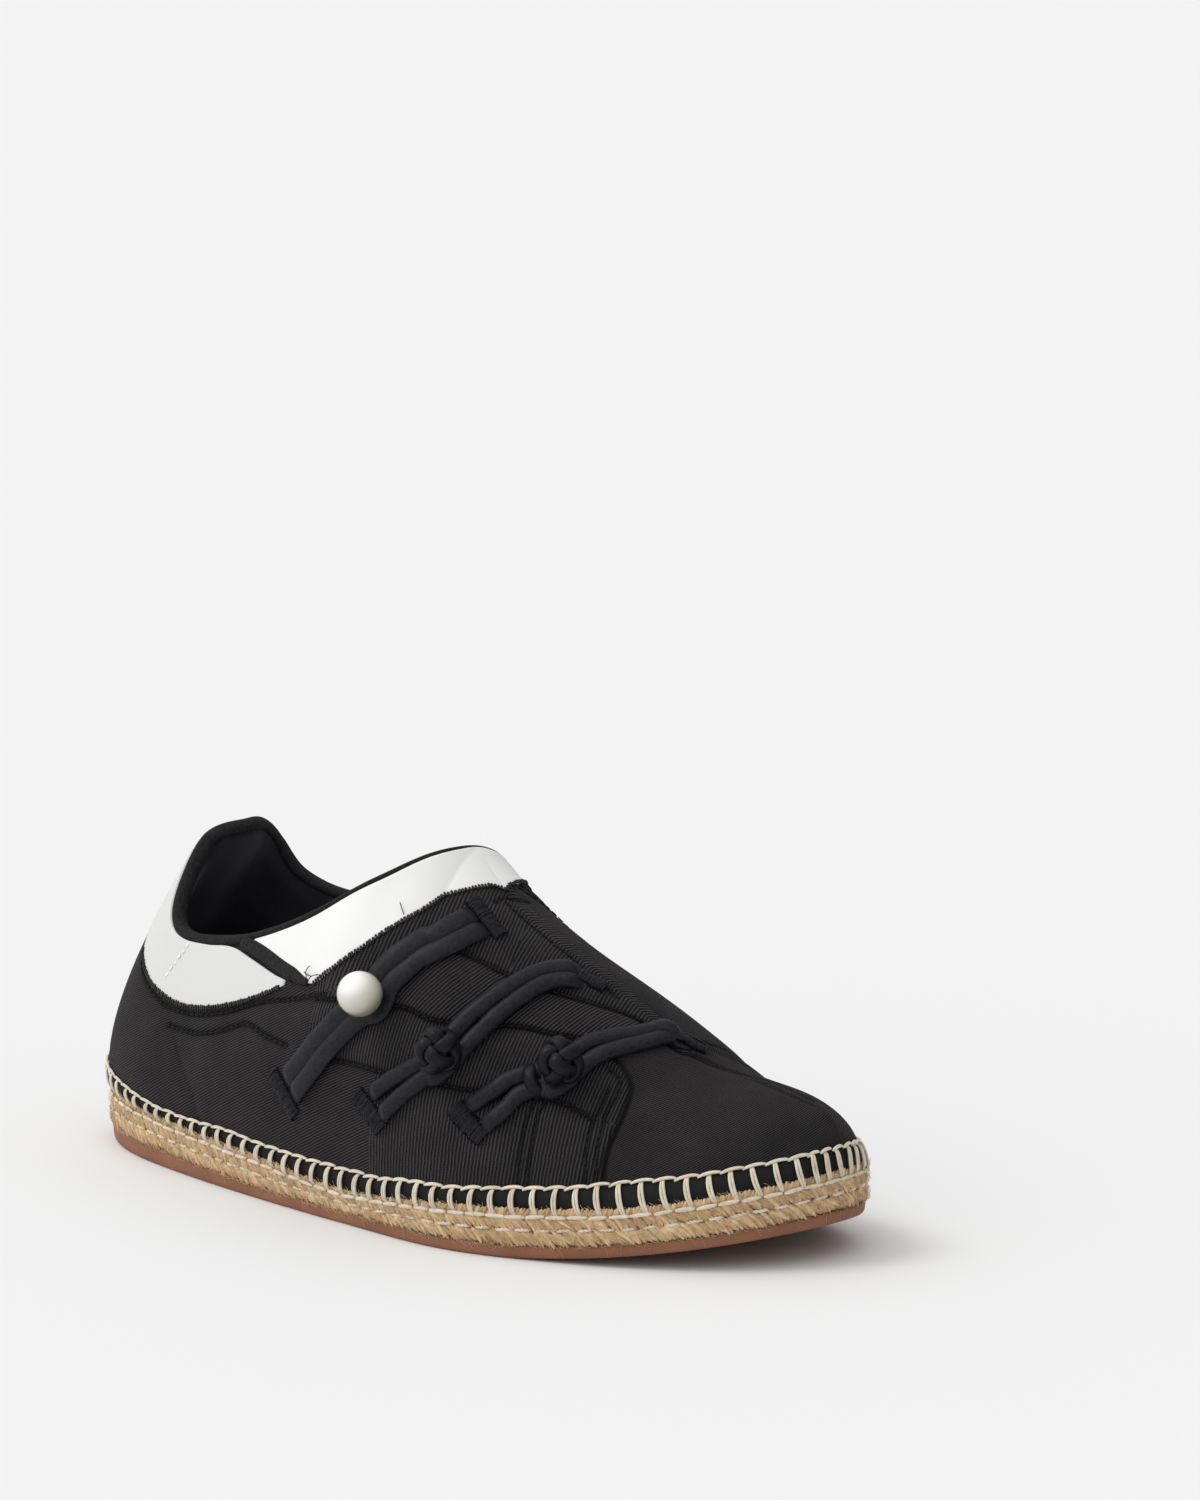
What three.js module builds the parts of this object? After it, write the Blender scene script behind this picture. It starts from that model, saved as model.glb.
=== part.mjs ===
// A right espadrille sneaker: jute and rubber sole, knitted slip-on upper with a wrap flap and three frog fasteners.
// Millimetres, +Z up. The drawing frame has the heel at x = 0, the toe along +X and the outer side along -Y.
// A place on the upper is (v, t): v runs round the sole from the heel (0) by the outer side to the toe (1) and back
// by the inner side (2); t climbs the wall from the sole (0) to the collar or, on the vamp, to the ridge (1).
import * as THREE from "three";
import { mergeVertices } from "three/addons/utils/BufferGeometryUtils.js";

const LENGTH = 285;
const BALL_WIDTH = 107;
const COLLAR_WIDTH = 72;
const INSTEP_HEIGHT = 108.5;
const TOE_SPRING = 12;
const ARCH_RISE = 1.5;
const SOLE_HEIGHT = 16.2;
const RUBBER_HEEL = 6;
const RUBBER_FRONT = 4;
const RUBBER_STEP = 0.7;
const BRAID_ROWS = 2;
const BRAID_GROOVE = 1.4;
const UPPER_INSET = 3;
const WALL = 2.2;
const COLLAR_PADDING = 2.6;
const FLAP_STEP = 0.9;
const TOE_STEP = 0.7;
const INSOLE_THICKNESS = 3;
const PANEL_THICKNESS = 1;
const BINDING_HEEL = 2.7;
const BINDING_FRONT = 1.2;
const CORD_DIAMETER = 4.5;
const CORD_SPACING = 5.6;
const KNOT_DIAMETER = 15;
const PEARL_DIAMETER = 13.8;
const KNOT_SHANK = 2;
const PEARL_SHANK = 3.6;
const BAR_WIDTH = 4.4;
const BAR_THICKNESS = 2;
const GAP = 0.3;
const TRIM_GAP = 0.7;
const PANEL_GAP = 0.75;
const CORD_LIFT = CORD_DIAMETER / 2 + TRIM_GAP;
const INSOLE_CLEARANCE = 1.8;

const OUTLINE = [
  { station: 0, outer: 0.02, inner: 0.02 },
  { station: 0.1, outer: -0.18, inner: 0.175 },
  { station: 0.2, outer: -0.315, inner: 0.28 },
  { station: 0.3, outer: -0.4, inner: 0.295 },
  { station: 0.4, outer: -0.465, inner: 0.27 },
  { station: 0.5, outer: -0.515, inner: 0.33 },
  { station: 0.6, outer: -0.54, inner: 0.44 },
  { station: 0.7, outer: -0.435, inner: 0.48 },
  { station: 0.8, outer: -0.28, inner: 0.41 },
  { station: 0.9, outer: -0.09, inner: 0.29 },
  { station: 1, outer: 0.115, inner: 0.115 },
];

// The collar's edge: x in lengths, y in collar widths, z in instep heights, on the outer and the inner side.
const RIM = [
  { station: 0, x: 0.17, yOuter: 0.01, yInner: 0.01, zOuter: 0.975, zInner: 0.975 },
  { station: 0.07, x: 0.155, yOuter: -0.17, yInner: 0.18, zOuter: 0.915, zInner: 0.945 },
  { station: 0.13, x: 0.148, yOuter: -0.305, yInner: 0.305, zOuter: 0.78, zInner: 0.87 },
  { station: 0.2, x: 0.167, yOuter: -0.39, yInner: 0.38, zOuter: 0.685, zInner: 0.775 },
  { station: 0.28, x: 0.232, yOuter: -0.445, yInner: 0.43, zOuter: 0.67, zInner: 0.715 },
  { station: 0.36, x: 0.316, yOuter: -0.485, yInner: 0.43, zOuter: 0.72, zInner: 0.71 },
  { station: 0.43, x: 0.411, yOuter: -0.5, yInner: 0.43, zOuter: 0.82, zInner: 0.79 },
  { station: 0.485, x: 0.484, yOuter: -0.42, yInner: 0.335, zOuter: 0.93, zInner: 0.865 },
  { station: 0.52, x: 0.512, yOuter: -0.21, yInner: 0.17, zOuter: 0.985, zInner: 0.945 },
  { station: 0.55, x: 0.518, yOuter: 0, yInner: 0, zOuter: 0.985, zInner: 0.985 },
];
const THROAT = RIM.at(-1).station;

// The top of the vamp from the throat to the toe: x in lengths, y in ball widths, z in instep heights.
const RIDGE = [
  { station: THROAT, x: 0.518, y: 0, z: 0.985 },
  { station: 0.6, x: 0.575, y: -0.02, z: 0.866 },
  { station: 0.7, x: 0.7, y: 0, z: 0.682 },
  { station: 0.8, x: 0.81, y: 0.04, z: 0.51 },
  { station: 0.9, x: 0.885, y: 0.09, z: 0.465 },
  { station: 1, x: 0.93, y: 0.12, z: 0.447 },
];

// How each wall bends: arch is the exponent of the vamp's arch, bulge a share of the ball width, lean an exponent.
const SECTIONS = [
  { station: 0, archOuter: 2, archInner: 2, bulgeOuter: 0.037, bulgeInner: 0.037, lean: 1.6 },
  { station: 0.1, archOuter: 2, archInner: 2, bulgeOuter: 0.037, bulgeInner: 0.037, lean: 1.6 },
  { station: 0.2, archOuter: 2, archInner: 2, bulgeOuter: 0.037, bulgeInner: 0.028, lean: 1.7 },
  { station: 0.35, archOuter: 1.9, archInner: 1.8, bulgeOuter: 0.028, bulgeInner: 0.028, lean: 1.8 },
  { station: 0.5, archOuter: 1.8, archInner: 1.65, bulgeOuter: 0.019, bulgeInner: 0.019, lean: 2 },
  { station: 0.55, archOuter: 1.75, archInner: 1.6, bulgeOuter: 0.009, bulgeInner: 0.009, lean: 2 },
  { station: 0.6, archOuter: 1.5, archInner: 1.55, bulgeOuter: 0, bulgeInner: 0, lean: 2 },
  { station: 0.7, archOuter: 1.25, archInner: 1.5, bulgeOuter: 0, bulgeInner: 0, lean: 2 },
  { station: 0.8, archOuter: 1.4, archInner: 1.5, bulgeOuter: 0, bulgeInner: 0, lean: 2 },
  { station: 0.9, archOuter: 1.8, archInner: 1.6, bulgeOuter: 0, bulgeInner: 0, lean: 2 },
  { station: 1, archOuter: 2, archInner: 2, bulgeOuter: 0, bulgeInner: 0, lean: 2 },
];
const VAMP_FROM = 0.4;
const VAMP_TO = 0.6;

// The front edge of the wrap flap on the outer side, from the collar to the toe seam.
const FLAP_EDGE = [
  { station: 0, t: 0.58 },
  { station: 0.46, t: 0.58 },
  { station: 0.52, t: 0.45 },
  { station: 0.57, t: 0.44 },
  { station: 0.63, t: 0.54 },
  { station: 0.68, t: 0.6 },
  { station: 1, t: 0.6 },
];
const FLAP_FROM = 0.38;
const FLAP_FULL = 0.48;
const TOE_SEAM = 0.735;
const SEAM_WIDTH = 0.008;

// The smooth panels under the collar, as heights t of their lower and upper edges.
const PANEL_TOP = 0.985;
const HEEL_PANEL = [
  { v: -0.32, low: 0.64, high: PANEL_TOP },
  { v: -0.2, low: 0.68, high: PANEL_TOP },
  { v: -0.1, low: 0.7, high: PANEL_TOP },
  { v: 0.12, low: 0.7, high: PANEL_TOP },
  { v: 0.18, low: 0.715, high: PANEL_TOP },
  { v: 0.23, low: 0.685, high: PANEL_TOP },
  { v: 0.28, low: 0.645, high: PANEL_TOP },
  { v: 0.33, low: 0.645, high: 0.965 },
  { v: 0.37, low: 0.67, high: 0.87 },
  { v: 0.4, low: 0.695, high: 0.785 },
  { v: 0.42, low: 0.71, high: 0.73 },
];
const BAND_TIP = 0.592;
const FRONT_BAND = [
  { station: 0.36, lowOuter: 0.965, lowInner: 0.64 },
  { station: 0.4, lowOuter: 0.84, lowInner: 0.63 },
  { station: 0.43, lowOuter: 0.735, lowInner: 0.63 },
  { station: 0.457, lowOuter: 0.645, lowInner: 0.635 },
  { station: 0.48, lowOuter: 0.665, lowInner: 0.64 },
  { station: 0.51, lowOuter: 0.68, lowInner: 0.655 },
  { station: 0.536, lowOuter: 0.705, lowInner: 0.69 },
  { station: 0.56, lowOuter: 0.78, lowInner: 0.765 },
  { station: 0.58, lowOuter: 0.9, lowInner: 0.88 },
  { station: BAND_TIP, lowOuter: 1, lowInner: 1 },
];
const BAND_INNER_END = 0.34;

// The frogs. Cord points are (v, t) on the outer side; t past 1 is over the ridge, on the inner side.
const FROGS = [
  {
    button: [0.522, 0.456],
    pearl: true,
    loop: [[0.538, 0.54], [0.556, 0.585], [0.579, 0.69]],
    tail: [0.456, 0.272],
    topBar: [[0.572, 0.77], [0.606, 0.745]],
    lowBar: [[0.43, 0.339], [0.458, 0.163]],
  },
  {
    button: [0.59, 0.377],
    pearl: false,
    loop: [[0.61, 0.5], [0.63, 0.59], [0.652, 0.69], [0.672, 0.765]],
    tail: [0.541, 0.19],
    topBar: [[0.67, 0.84], [0.705, 0.845]],
    lowBar: [[0.52, 0.218], [0.542, 0.142]],
  },
  {
    button: [0.686, 0.49],
    pearl: false,
    loop: [[0.706, 0.6], [0.734, 0.715], [0.758, 0.87], [0.772, 1.05]],
    tail: [0.628, 0.285],
    topBar: [[0.762, 1.18], [0.802, 1.12]],
    lowBar: [[0.604, 0.276], [0.628, 0.24]],
  },
];

const COLUMNS = 36;
const FLAP_ROWS = 6;
const LOWER_ROWS = 5;

const mix = (a, b, k) => a + (b - a) * k;
const clamp01 = (k) => Math.min(1, Math.max(0, k));
const smooth = (a, b, x) => {
  const k = clamp01((x - a) / (b - a));
  return k * k * (3 - 2 * k);
};

// A smooth curve through rows of { at, is }, with each tangent taken from the rows beside it.
function through(rows, x) {
  const slope = (k) => (rows[k + 1].is - rows[k].is) / (rows[k + 1].at - rows[k].at);
  const tangent = (k) => {
    if (k === 0) return slope(0);
    if (k === rows.length - 1) return slope(k - 1);
    const before = rows[k].at - rows[k - 1].at;
    const after = rows[k + 1].at - rows[k].at;
    return (slope(k - 1) * after + slope(k) * before) / (before + after);
  };
  const at = Math.min(rows.at(-1).at, Math.max(rows[0].at, x));
  let k = 0;
  while (k < rows.length - 2 && at > rows[k + 1].at) k += 1;
  const step = rows[k + 1].at - rows[k].at;
  const s = (at - rows[k].at) / step;
  return (
    (2 * s ** 3 - 3 * s ** 2 + 1) * rows[k].is +
    (s ** 3 - 2 * s ** 2 + s) * step * tangent(k) +
    (3 * s ** 2 - 2 * s ** 3) * rows[k + 1].is +
    (s ** 3 - s ** 2) * step * tangent(k + 1)
  );
}

const column = (table, at, is) => table.map((row) => ({ at: row[at], is: row[is] }));

// A table's outer column followed by its inner column the other way, wrapped past both ends.
function round(table, outer, inner) {
  const last = table.at(-1).station;
  const loop = [
    ...table.map((row) => ({ at: row.station, is: row[outer] })),
    ...table.slice(1, -1).reverse().map((row) => ({ at: 2 * last - row.station, is: row[inner] })),
  ];
  const shift = (rows, by) => rows.map((row) => ({ at: row.at + by, is: row.is }));
  return [...shift(loop.slice(-3), -2 * last), ...loop, ...shift(loop.slice(0, 4), 2 * last)];
}

const OUTLINE_Y = round(OUTLINE, "outer", "inner");
const RIM_X = round(RIM, "x", "x");
const RIM_Y = round(RIM, "yOuter", "yInner");
const RIM_Z = round(RIM, "zOuter", "zInner");

const wrap = (v) => ((v % 2) + 2) % 2;
const stationOf = (v) => (wrap(v) > 1 ? 2 - wrap(v) : wrap(v));
const isOuter = (v) => wrap(v) <= 1;

// The sole's outline seen from above, pulled in by inset.
function outline(v, inset = 0) {
  const point = (w) => [
    (LENGTH * (1 - Math.cos(Math.PI * wrap(w)))) / 2,
    BALL_WIDTH * through(OUTLINE_Y, wrap(w)),
  ];
  const [x, y] = point(v);
  const [ox, oy] = outwards(v, point);
  return [x - inset * ox, y - inset * oy];
}

function outwards(v, point = outline) {
  const [x0, y0] = point(v - 0.004);
  const [x1, y1] = point(v + 0.004);
  const size = Math.hypot(x1 - x0, y1 - y0);
  return [(y1 - y0) / size, -(x1 - x0) / size];
}

// Height of the sole's underside: flat at heel and forefoot, raised at the inner arch and the toe.
function underside(x, y) {
  const spring = TOE_SPRING * clamp01((x / LENGTH - 0.7) / 0.3) ** 1.8;
  const along = Math.sin(Math.PI * clamp01((x / LENGTH - 0.3) / 0.26)) ** 2;
  return spring + ARCH_RISE * along * smooth(-0.05, 0.25, y / BALL_WIDTH);
}

const rubberThickness = (x) => mix(RUBBER_HEEL, RUBBER_FRONT, smooth(0.12, 0.4, x / LENGTH));
const juteTop = (x, y) => underside(x, y) + SOLE_HEIGHT;

function feather(v) {
  const [x, y] = outline(v, UPPER_INSET);
  return new THREE.Vector3(x, y, juteTop(x, y) + GAP);
}

function topline(v) {
  const station = stationOf(v);
  if (station >= THROAT) {
    return new THREE.Vector3(
      LENGTH * through(column(RIDGE, "station", "x"), station),
      BALL_WIDTH * through(column(RIDGE, "station", "y"), station),
      INSTEP_HEIGHT * through(column(RIDGE, "station", "z"), station),
    );
  }
  const w = isOuter(v) ? station : 2 * THROAT - station;
  return new THREE.Vector3(
    LENGTH * through(RIM_X, w),
    COLLAR_WIDTH * through(RIM_Y, w),
    INSTEP_HEIGHT * through(RIM_Z, w),
  );
}

// The upper's outer surface before any step in it.
function surface(v, t) {
  const station = stationOf(v);
  const side = isOuter(v) ? "Outer" : "Inner";
  const foot = feather(v);
  const top = topline(v);
  const arch = through(column(SECTIONS, "station", "arch" + side), station);
  const bulge = BALL_WIDTH * through(column(SECTIONS, "station", "bulge" + side), station);
  const lean = through(column(SECTIONS, "station", "lean"), station);
  const vamp = smooth(VAMP_FROM, VAMP_TO, station);
  const height = mix(t, Math.sin((Math.PI * t) / 2) ** (2 / arch), vamp);
  const inwards = mix(t ** lean, 1 - Math.max(0, Math.cos((Math.PI * t) / 2)) ** (2 / arch), vamp);
  const [ox, oy] = outwards(v);
  const out = bulge * Math.sin(Math.PI * t ** 0.6) * (1 - 0.35 * t);
  return new THREE.Vector3(
    mix(foot.x, top.x, inwards) + ox * out,
    mix(foot.y, top.y, inwards) + oy * out,
    mix(foot.z, top.z, height),
  );
}

function sideNormal(v, t) {
  const h = Math.min(0.975, Math.max(0.03, t));
  const along = surface(v + 0.012, h).sub(surface(v - 0.012, h));
  const up = surface(v, h + 0.025).sub(surface(v, h - 0.025));
  return along.cross(up).normalize();
}

// The outward normal, level at the sole and shared by the two sides where they meet on the ridge.
// t past 1 carries on over the ridge, here and in place.
function normal(v, t) {
  if (t > 1) return normal(2 - wrap(v), 2 - t);
  const share = 0.5 * smooth(THROAT - 0.05, THROAT - 0.001, stationOf(v)) * smooth(0.9, 1, t);
  const out = sideNormal(v, t).lerp(sideNormal(2 - wrap(v), t), share);
  out.z *= smooth(0, 0.08, t);
  return out.normalize();
}

function place(v, t, off) {
  if (t > 1) return place(2 - wrap(v), 2 - t, off);
  return surface(v, t).addScaledVector(normal(v, t), off);
}

// The steps in the wall: the quarter lies over the toe piece, and the flap over the quarter.
function relief(v, t) {
  if (t > 1) return relief(2 - wrap(v), 2 - t);
  const station = stationOf(v);
  const behindToe = 1 - smooth(TOE_SEAM - SEAM_WIDTH, TOE_SEAM + SEAM_WIDTH, station);
  const edge = through(column(FLAP_EDGE, "station", "t"), station);
  const onFlap = isOuter(v) ? Number(t > edge) : smooth(0.4, 0.8, t);
  const along = smooth(FLAP_FROM, FLAP_FULL, station);
  return behindToe * (TOE_STEP + FLAP_STEP * onFlap * along);
}

const padding = (v, t) => COLLAR_PADDING * (1 - smooth(0.2, 0.34, stationOf(v))) * smooth(0.45, 0.8, t);

// A closed mesh from faces of points: points that coincide are one vertex, and faces without area are dropped.
function closedGeometry(faces) {
  const corners = faces.flatMap((face) =>
    face.slice(2).flatMap((_, k) => [face[0], face[k + 1], face[k + 2]]),
  );
  const raw = new THREE.BufferGeometry().setFromPoints(corners);
  const merged = mergeVertices(raw, 1e-3);
  const index = merged.index.array;
  const kept = [];
  for (let k = 0; k < index.length; k += 3) {
    const [a, b, c] = [index[k], index[k + 1], index[k + 2]];
    if (a !== b && b !== c && c !== a) kept.push(a, b, c);
  }
  merged.setIndex(kept);
  return merged;
}

// A skin of the upper's surface with a real thickness. Each column gives v and the heights t of its rows;
// outer and inner give the two faces' distance off the surface. From the throat forward both sides share the ridge.
function skin(columns, outer, inner, closed) {
  const grid = (off) => columns.map(({ v, rows }) => rows.map((t) => place(v, t, off(v, t))));
  const out = grid(outer);
  const within = grid(inner);
  const faces = [];
  const last = columns[0].rows.length - 1;
  const count = closed ? columns.length : columns.length - 1;
  for (let i = 0; i < count; i += 1) {
    const j = (i + 1) % columns.length;
    for (let k = 0; k < last; k += 1) {
      faces.push([out[i][k], out[j][k], out[j][k + 1], out[i][k + 1]]);
      faces.push([within[j][k], within[i][k], within[i][k + 1], within[j][k + 1]]);
    }
    faces.push([within[i][0], within[j][0], out[j][0], out[i][0]]);
    const onRidge = Math.min(stationOf(columns[i].v), stationOf(columns[j].v)) >= THROAT - 1e-9;
    if (!(onRidge && columns[i].rows[last] === 1)) {
      faces.push([out[i][last], out[j][last], within[j][last], within[i][last]]);
    }
  }
  if (!closed) {
    const end = columns.length - 1;
    for (let k = 0; k < last; k += 1) {
      faces.push([within[0][k], out[0][k], out[0][k + 1], within[0][k + 1]]);
      faces.push([out[end][k], within[end][k], within[end][k + 1], out[end][k + 1]]);
    }
  }
  return closedGeometry(faces);
}

const evenly = (from, to, steps) =>
  Array.from({ length: steps + 1 }, (_, k) => mix(from, to, k / steps));

// Stations from heel to toe, with one at the throat and a pair at the toe seam.
const STATIONS = [
  ...evenly(0, 1, COLUMNS),
  THROAT,
  TOE_SEAM - SEAM_WIDTH,
  TOE_SEAM + SEAM_WIDTH,
].sort((a, b) => a - b);
const ROUND = [...STATIONS, ...STATIONS.slice(1, -1).reverse().map((s) => 2 - s)];

function upperGeometry() {
  const edge = column(FLAP_EDGE, "station", "t");
  const columns = ROUND.map((v) => {
    const at = through(edge, stationOf(v));
    const lower = evenly(0, at - SEAM_WIDTH, LOWER_ROWS);
    return { v, rows: [...lower, ...evenly(at + SEAM_WIDTH, 1, FLAP_ROWS)] };
  });
  return skin(columns, relief, (v, t) => -WALL - padding(v, t), true);
}

function frontBandGeometry() {
  const low = (side) => column(FRONT_BAND, "station", "low" + side);
  const from = FRONT_BAND[0].station;
  const outerSide = [...evenly(from, THROAT, 12), ...evenly(THROAT, BAND_TIP, 4).slice(1)];
  const innerSide = [...evenly(BAND_INNER_END, THROAT, 12), ...evenly(THROAT, BAND_TIP, 4).slice(1)];
  const rows = (side, station) => {
    const top = station >= THROAT - 1e-9 ? 1 : mix(PANEL_TOP, 1, smooth(THROAT - 0.03, THROAT, station));
    return evenly(Math.min(top, through(low(side), station)), top, 4);
  };
  const columns = [
    ...outerSide.map((s) => ({ v: s, rows: rows("Outer", s) })),
    ...innerSide.reverse().map((s) => ({ v: 2 - s, rows: rows("Inner", s) })),
  ];
  const base = (v, t) => relief(v, t) + PANEL_GAP;
  return skin(columns, (v, t) => base(v, t) + PANEL_THICKNESS, base, false);
}

function heelPanelGeometry() {
  const low = column(HEEL_PANEL, "v", "low");
  const high = column(HEEL_PANEL, "v", "high");
  const columns = evenly(HEEL_PANEL[0].v, HEEL_PANEL.at(-1).v, 26).map((v) => ({
    v,
    rows: evenly(through(low, v), through(high, v), 4),
  }));
  const base = (v, t) => relief(v, t) + PANEL_GAP;
  return skin(columns, (v, t) => base(v, t) + PANEL_THICKNESS, base, false);
}

// Rings of equal count joined one above the other, and closed below and above by strips across the shoe.
function layered(rings, lowest, highest) {
  const faces = [];
  const count = rings[0].length;
  rings.slice(1).forEach((ring, k) => {
    for (let i = 0; i < count; i += 1) {
      const j = (i + 1) % count;
      faces.push([rings[k][i], rings[k][j], ring[j], ring[i]]);
    }
  });
  const cap = (ring, height, upwards) => {
    const across = (i) =>
      evenly(0, 1, 4).map((k) => {
        const point = ring[i].clone().lerp(ring[(count - i) % count], k);
        if (k > 0 && k < 1) point.z = height(point.x, point.y);
        return point;
      });
    for (let i = 0; i < count / 2; i += 1) {
      const [near, far] = [across(i), across(i + 1)];
      for (let k = 0; k < 4; k += 1) {
        const face = [near[k], far[k], far[k + 1], near[k + 1]];
        faces.push(upwards ? face : face.reverse());
      }
    }
  };
  cap(rings[0], lowest, false);
  cap(rings.at(-1), highest, true);
  return closedGeometry(faces);
}

// One ring round the sole, pulled in by inset, with its height worked out from each point's place.
const ring = (inset, height) =>
  ROUND.map((v) => {
    const [x, y] = outline(v, inset);
    return new THREE.Vector3(x, y, height(x, y));
  });

function outsoleGeometry() {
  const at = (share) => (x, y) => underside(x, y) + share * (rubberThickness(x) - GAP);
  return layered(
    [
      ring(BRAID_GROOVE + 2 * RUBBER_STEP, at(0)),
      ring(BRAID_GROOVE + 0.2, at(0.22)),
      ring(BRAID_GROOVE, at(0.6)),
      ring(BRAID_GROOVE + RUBBER_STEP, at(0.72)),
      ring(BRAID_GROOVE + RUBBER_STEP, at(1)),
    ],
    underside,
    at(1),
  );
}

function midsoleGeometry() {
  const height = (share) => (x, y) => underside(x, y) + mix(rubberThickness(x), SOLE_HEIGHT, share);
  const steps = 4 * BRAID_ROWS;
  const rings = evenly(0, 1, steps).map((share, k) =>
    ring(BRAID_GROOVE * (1 - Math.sin((Math.PI * (k % 4)) / 4)), height(share)),
  );
  return layered(rings, height(0), juteTop);
}

function insoleGeometry() {
  const inset = UPPER_INSET + WALL + INSOLE_CLEARANCE;
  const cup = (x, y) => 0.8 * Math.abs(y / (BALL_WIDTH / 2)) ** 2;
  const low = (x, y) => juteTop(x, y) + GAP;
  const high = (x, y) => low(x, y) + INSOLE_THICKNESS + cup(x, y);
  return layered([ring(inset, low), ring(inset, high)], low, high);
}

// The rolled edge of the collar: an oval tube that follows the rim just above it.
function bindingGeometry() {
  const sides = 8;
  const stations = evenly(0, THROAT, 26);
  const path = [...stations, ...stations.slice(1, -1).reverse().map((s) => 2 - s)];
  const edge = (v) => {
    const outside = place(v, 1, relief(v, 1));
    return { outside, inside: place(v, 1, -WALL - padding(v, 1)) };
  };
  const rings = path.map((v, i) => {
    const { outside, inside } = edge(v);
    const next = edge(path[(i + 1) % path.length]).outside;
    const before = edge(path[(i + path.length - 1) % path.length]).outside;
    const along = next.sub(before).normalize();
    const across = outside.clone().sub(inside);
    across.addScaledVector(along, -across.dot(along)).normalize();
    const up = across.clone().cross(along).normalize();
    const radius = mix(BINDING_HEEL, BINDING_FRONT, smooth(0.24, 0.36, stationOf(v)));
    const centre = outside.add(inside).multiplyScalar(0.5).addScaledVector(up, radius + TRIM_GAP);
    return Array.from({ length: sides }, (_, k) => {
      const turn = (2 * Math.PI * k) / sides;
      return centre
        .clone()
        .addScaledVector(across, radius * Math.cos(turn))
        .addScaledVector(up, radius * Math.sin(turn));
    });
  });
  const faces = [];
  rings.forEach((near, i) => {
    const far = rings[(i + 1) % rings.length];
    for (let k = 0; k < sides; k += 1) {
      const n = (k + 1) % sides;
      faces.push([near[n], near[k], far[k], far[n]]);
    }
  });
  return closedGeometry(faces);
}

// A round cord along points, as one tube with flat ends.
function cordGeometry(points, radius) {
  const path = new THREE.CatmullRomCurve3(points, false, "centripetal");
  const section = new THREE.Shape().absarc(0, 0, radius, 0, 2 * Math.PI);
  return new THREE.ExtrudeGeometry(section, {
    extrudePath: path,
    steps: Math.round(path.getLength() / (1.1 * CORD_DIAMETER)),
    curveSegments: 4,
  });
}

// The place reached from (v, t) by a small move over the surface.
function moved(v, t, move) {
  const h = 0.01;
  const along = place(v + h, t, 0).sub(place(v - h, t, 0)).divideScalar(2 * h);
  const up = place(v, t + h, 0).sub(place(v, t - h, 0)).divideScalar(2 * h);
  const [aa, au, uu] = [along.dot(along), along.dot(up), up.dot(up)];
  const [ma, mu] = [move.dot(along), move.dot(up)];
  const size = aa * uu - au * au;
  return [v + (ma * uu - mu * au) / size, t + (mu * aa - ma * au) / size];
}

// The centre of a cord that lies at (v, t). It keeps the quarter's level until it is past the toe seam.
function lying(v, t) {
  const level = Math.max(relief(v, t), relief(v - 2 * SEAM_WIDTH, t));
  return place(v, t, level + CORD_LIFT);
}

// Points beside a centre line on the surface, at a distance to one side of it.
function besides(line, distance) {
  return line.map(([v, t], i) => {
    const next = lying(...line[Math.min(i + 1, line.length - 1)]);
    const before = lying(...line[Math.max(i - 1, 0)]);
    const side = next.sub(before).cross(normal(v, t)).normalize();
    return lying(...moved(v, t, side.multiplyScalar(distance)));
  });
}

// The hairpin cord on the flap, which runs round the button, and the one on the quarter below it.
function loopGeometry(frog) {
  const [v, t] = frog.button;
  const out = normal(v, t);
  const away = lying(...frog.loop[0]).sub(lying(v, t));
  away.addScaledVector(out, -away.dot(out)).normalize();
  const side = away.clone().cross(out);
  const reach = loopReach(frog);
  const turn = evenly(-0.62, 0.62, 8).map((share) => {
    const move = away.clone().multiplyScalar(-reach * Math.cos(Math.PI * share));
    return lying(...moved(v, t, move.addScaledVector(side, -reach * Math.sin(Math.PI * share))));
  });
  const line = frog.loop;
  return cordGeometry(
    [...besides(line, CORD_SPACING / 2).reverse(), ...turn, ...besides(line, -CORD_SPACING / 2)],
    CORD_DIAMETER / 2,
  );
}

const buttonRadius = (frog) => (frog.pearl ? PEARL_DIAMETER : KNOT_DIAMETER) / 2;
const buttonLift = (frog) => buttonRadius(frog) + (frog.pearl ? PEARL_SHANK : KNOT_SHANK);

// How far from the button's axis its cord lies, to clear the ball above it.
function loopReach(frog) {
  const clear = buttonRadius(frog) + CORD_DIAMETER / 2 + TRIM_GAP;
  return Math.sqrt(clear ** 2 - (buttonLift(frog) - CORD_LIFT) ** 2);
}

// The hairpin below the button, from just outside the loop to its place by the lower bar.
function tailGeometry(frog) {
  const between = (k) => [mix(frog.button[0], frog.tail[0], k), mix(frog.button[1], frog.tail[1], k)];
  const half = CORD_SPACING / 2;
  const reach = lying(...frog.tail).distanceTo(lying(...frog.button));
  const start = (loopReach(frog) + CORD_DIAMETER + GAP + half) / reach;
  const line = evenly(start, 1, 3).map(between);
  const [v, t] = line[0];
  const away = lying(...line[1]).sub(lying(v, t)).normalize();
  const side = away.clone().cross(normal(v, t)).normalize();
  const turn = evenly(-0.4, 0.4, 4).map((share) => {
    const move = away.clone().multiplyScalar(-half * Math.cos(Math.PI * share));
    return lying(...moved(v, t, move.addScaledVector(side, -half * Math.sin(Math.PI * share))));
  });
  const beside = (distance) => besides(line, distance).slice(1);
  return cordGeometry([...beside(half).reverse(), ...turn, ...beside(-half)], CORD_DIAMETER / 2);
}

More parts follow.
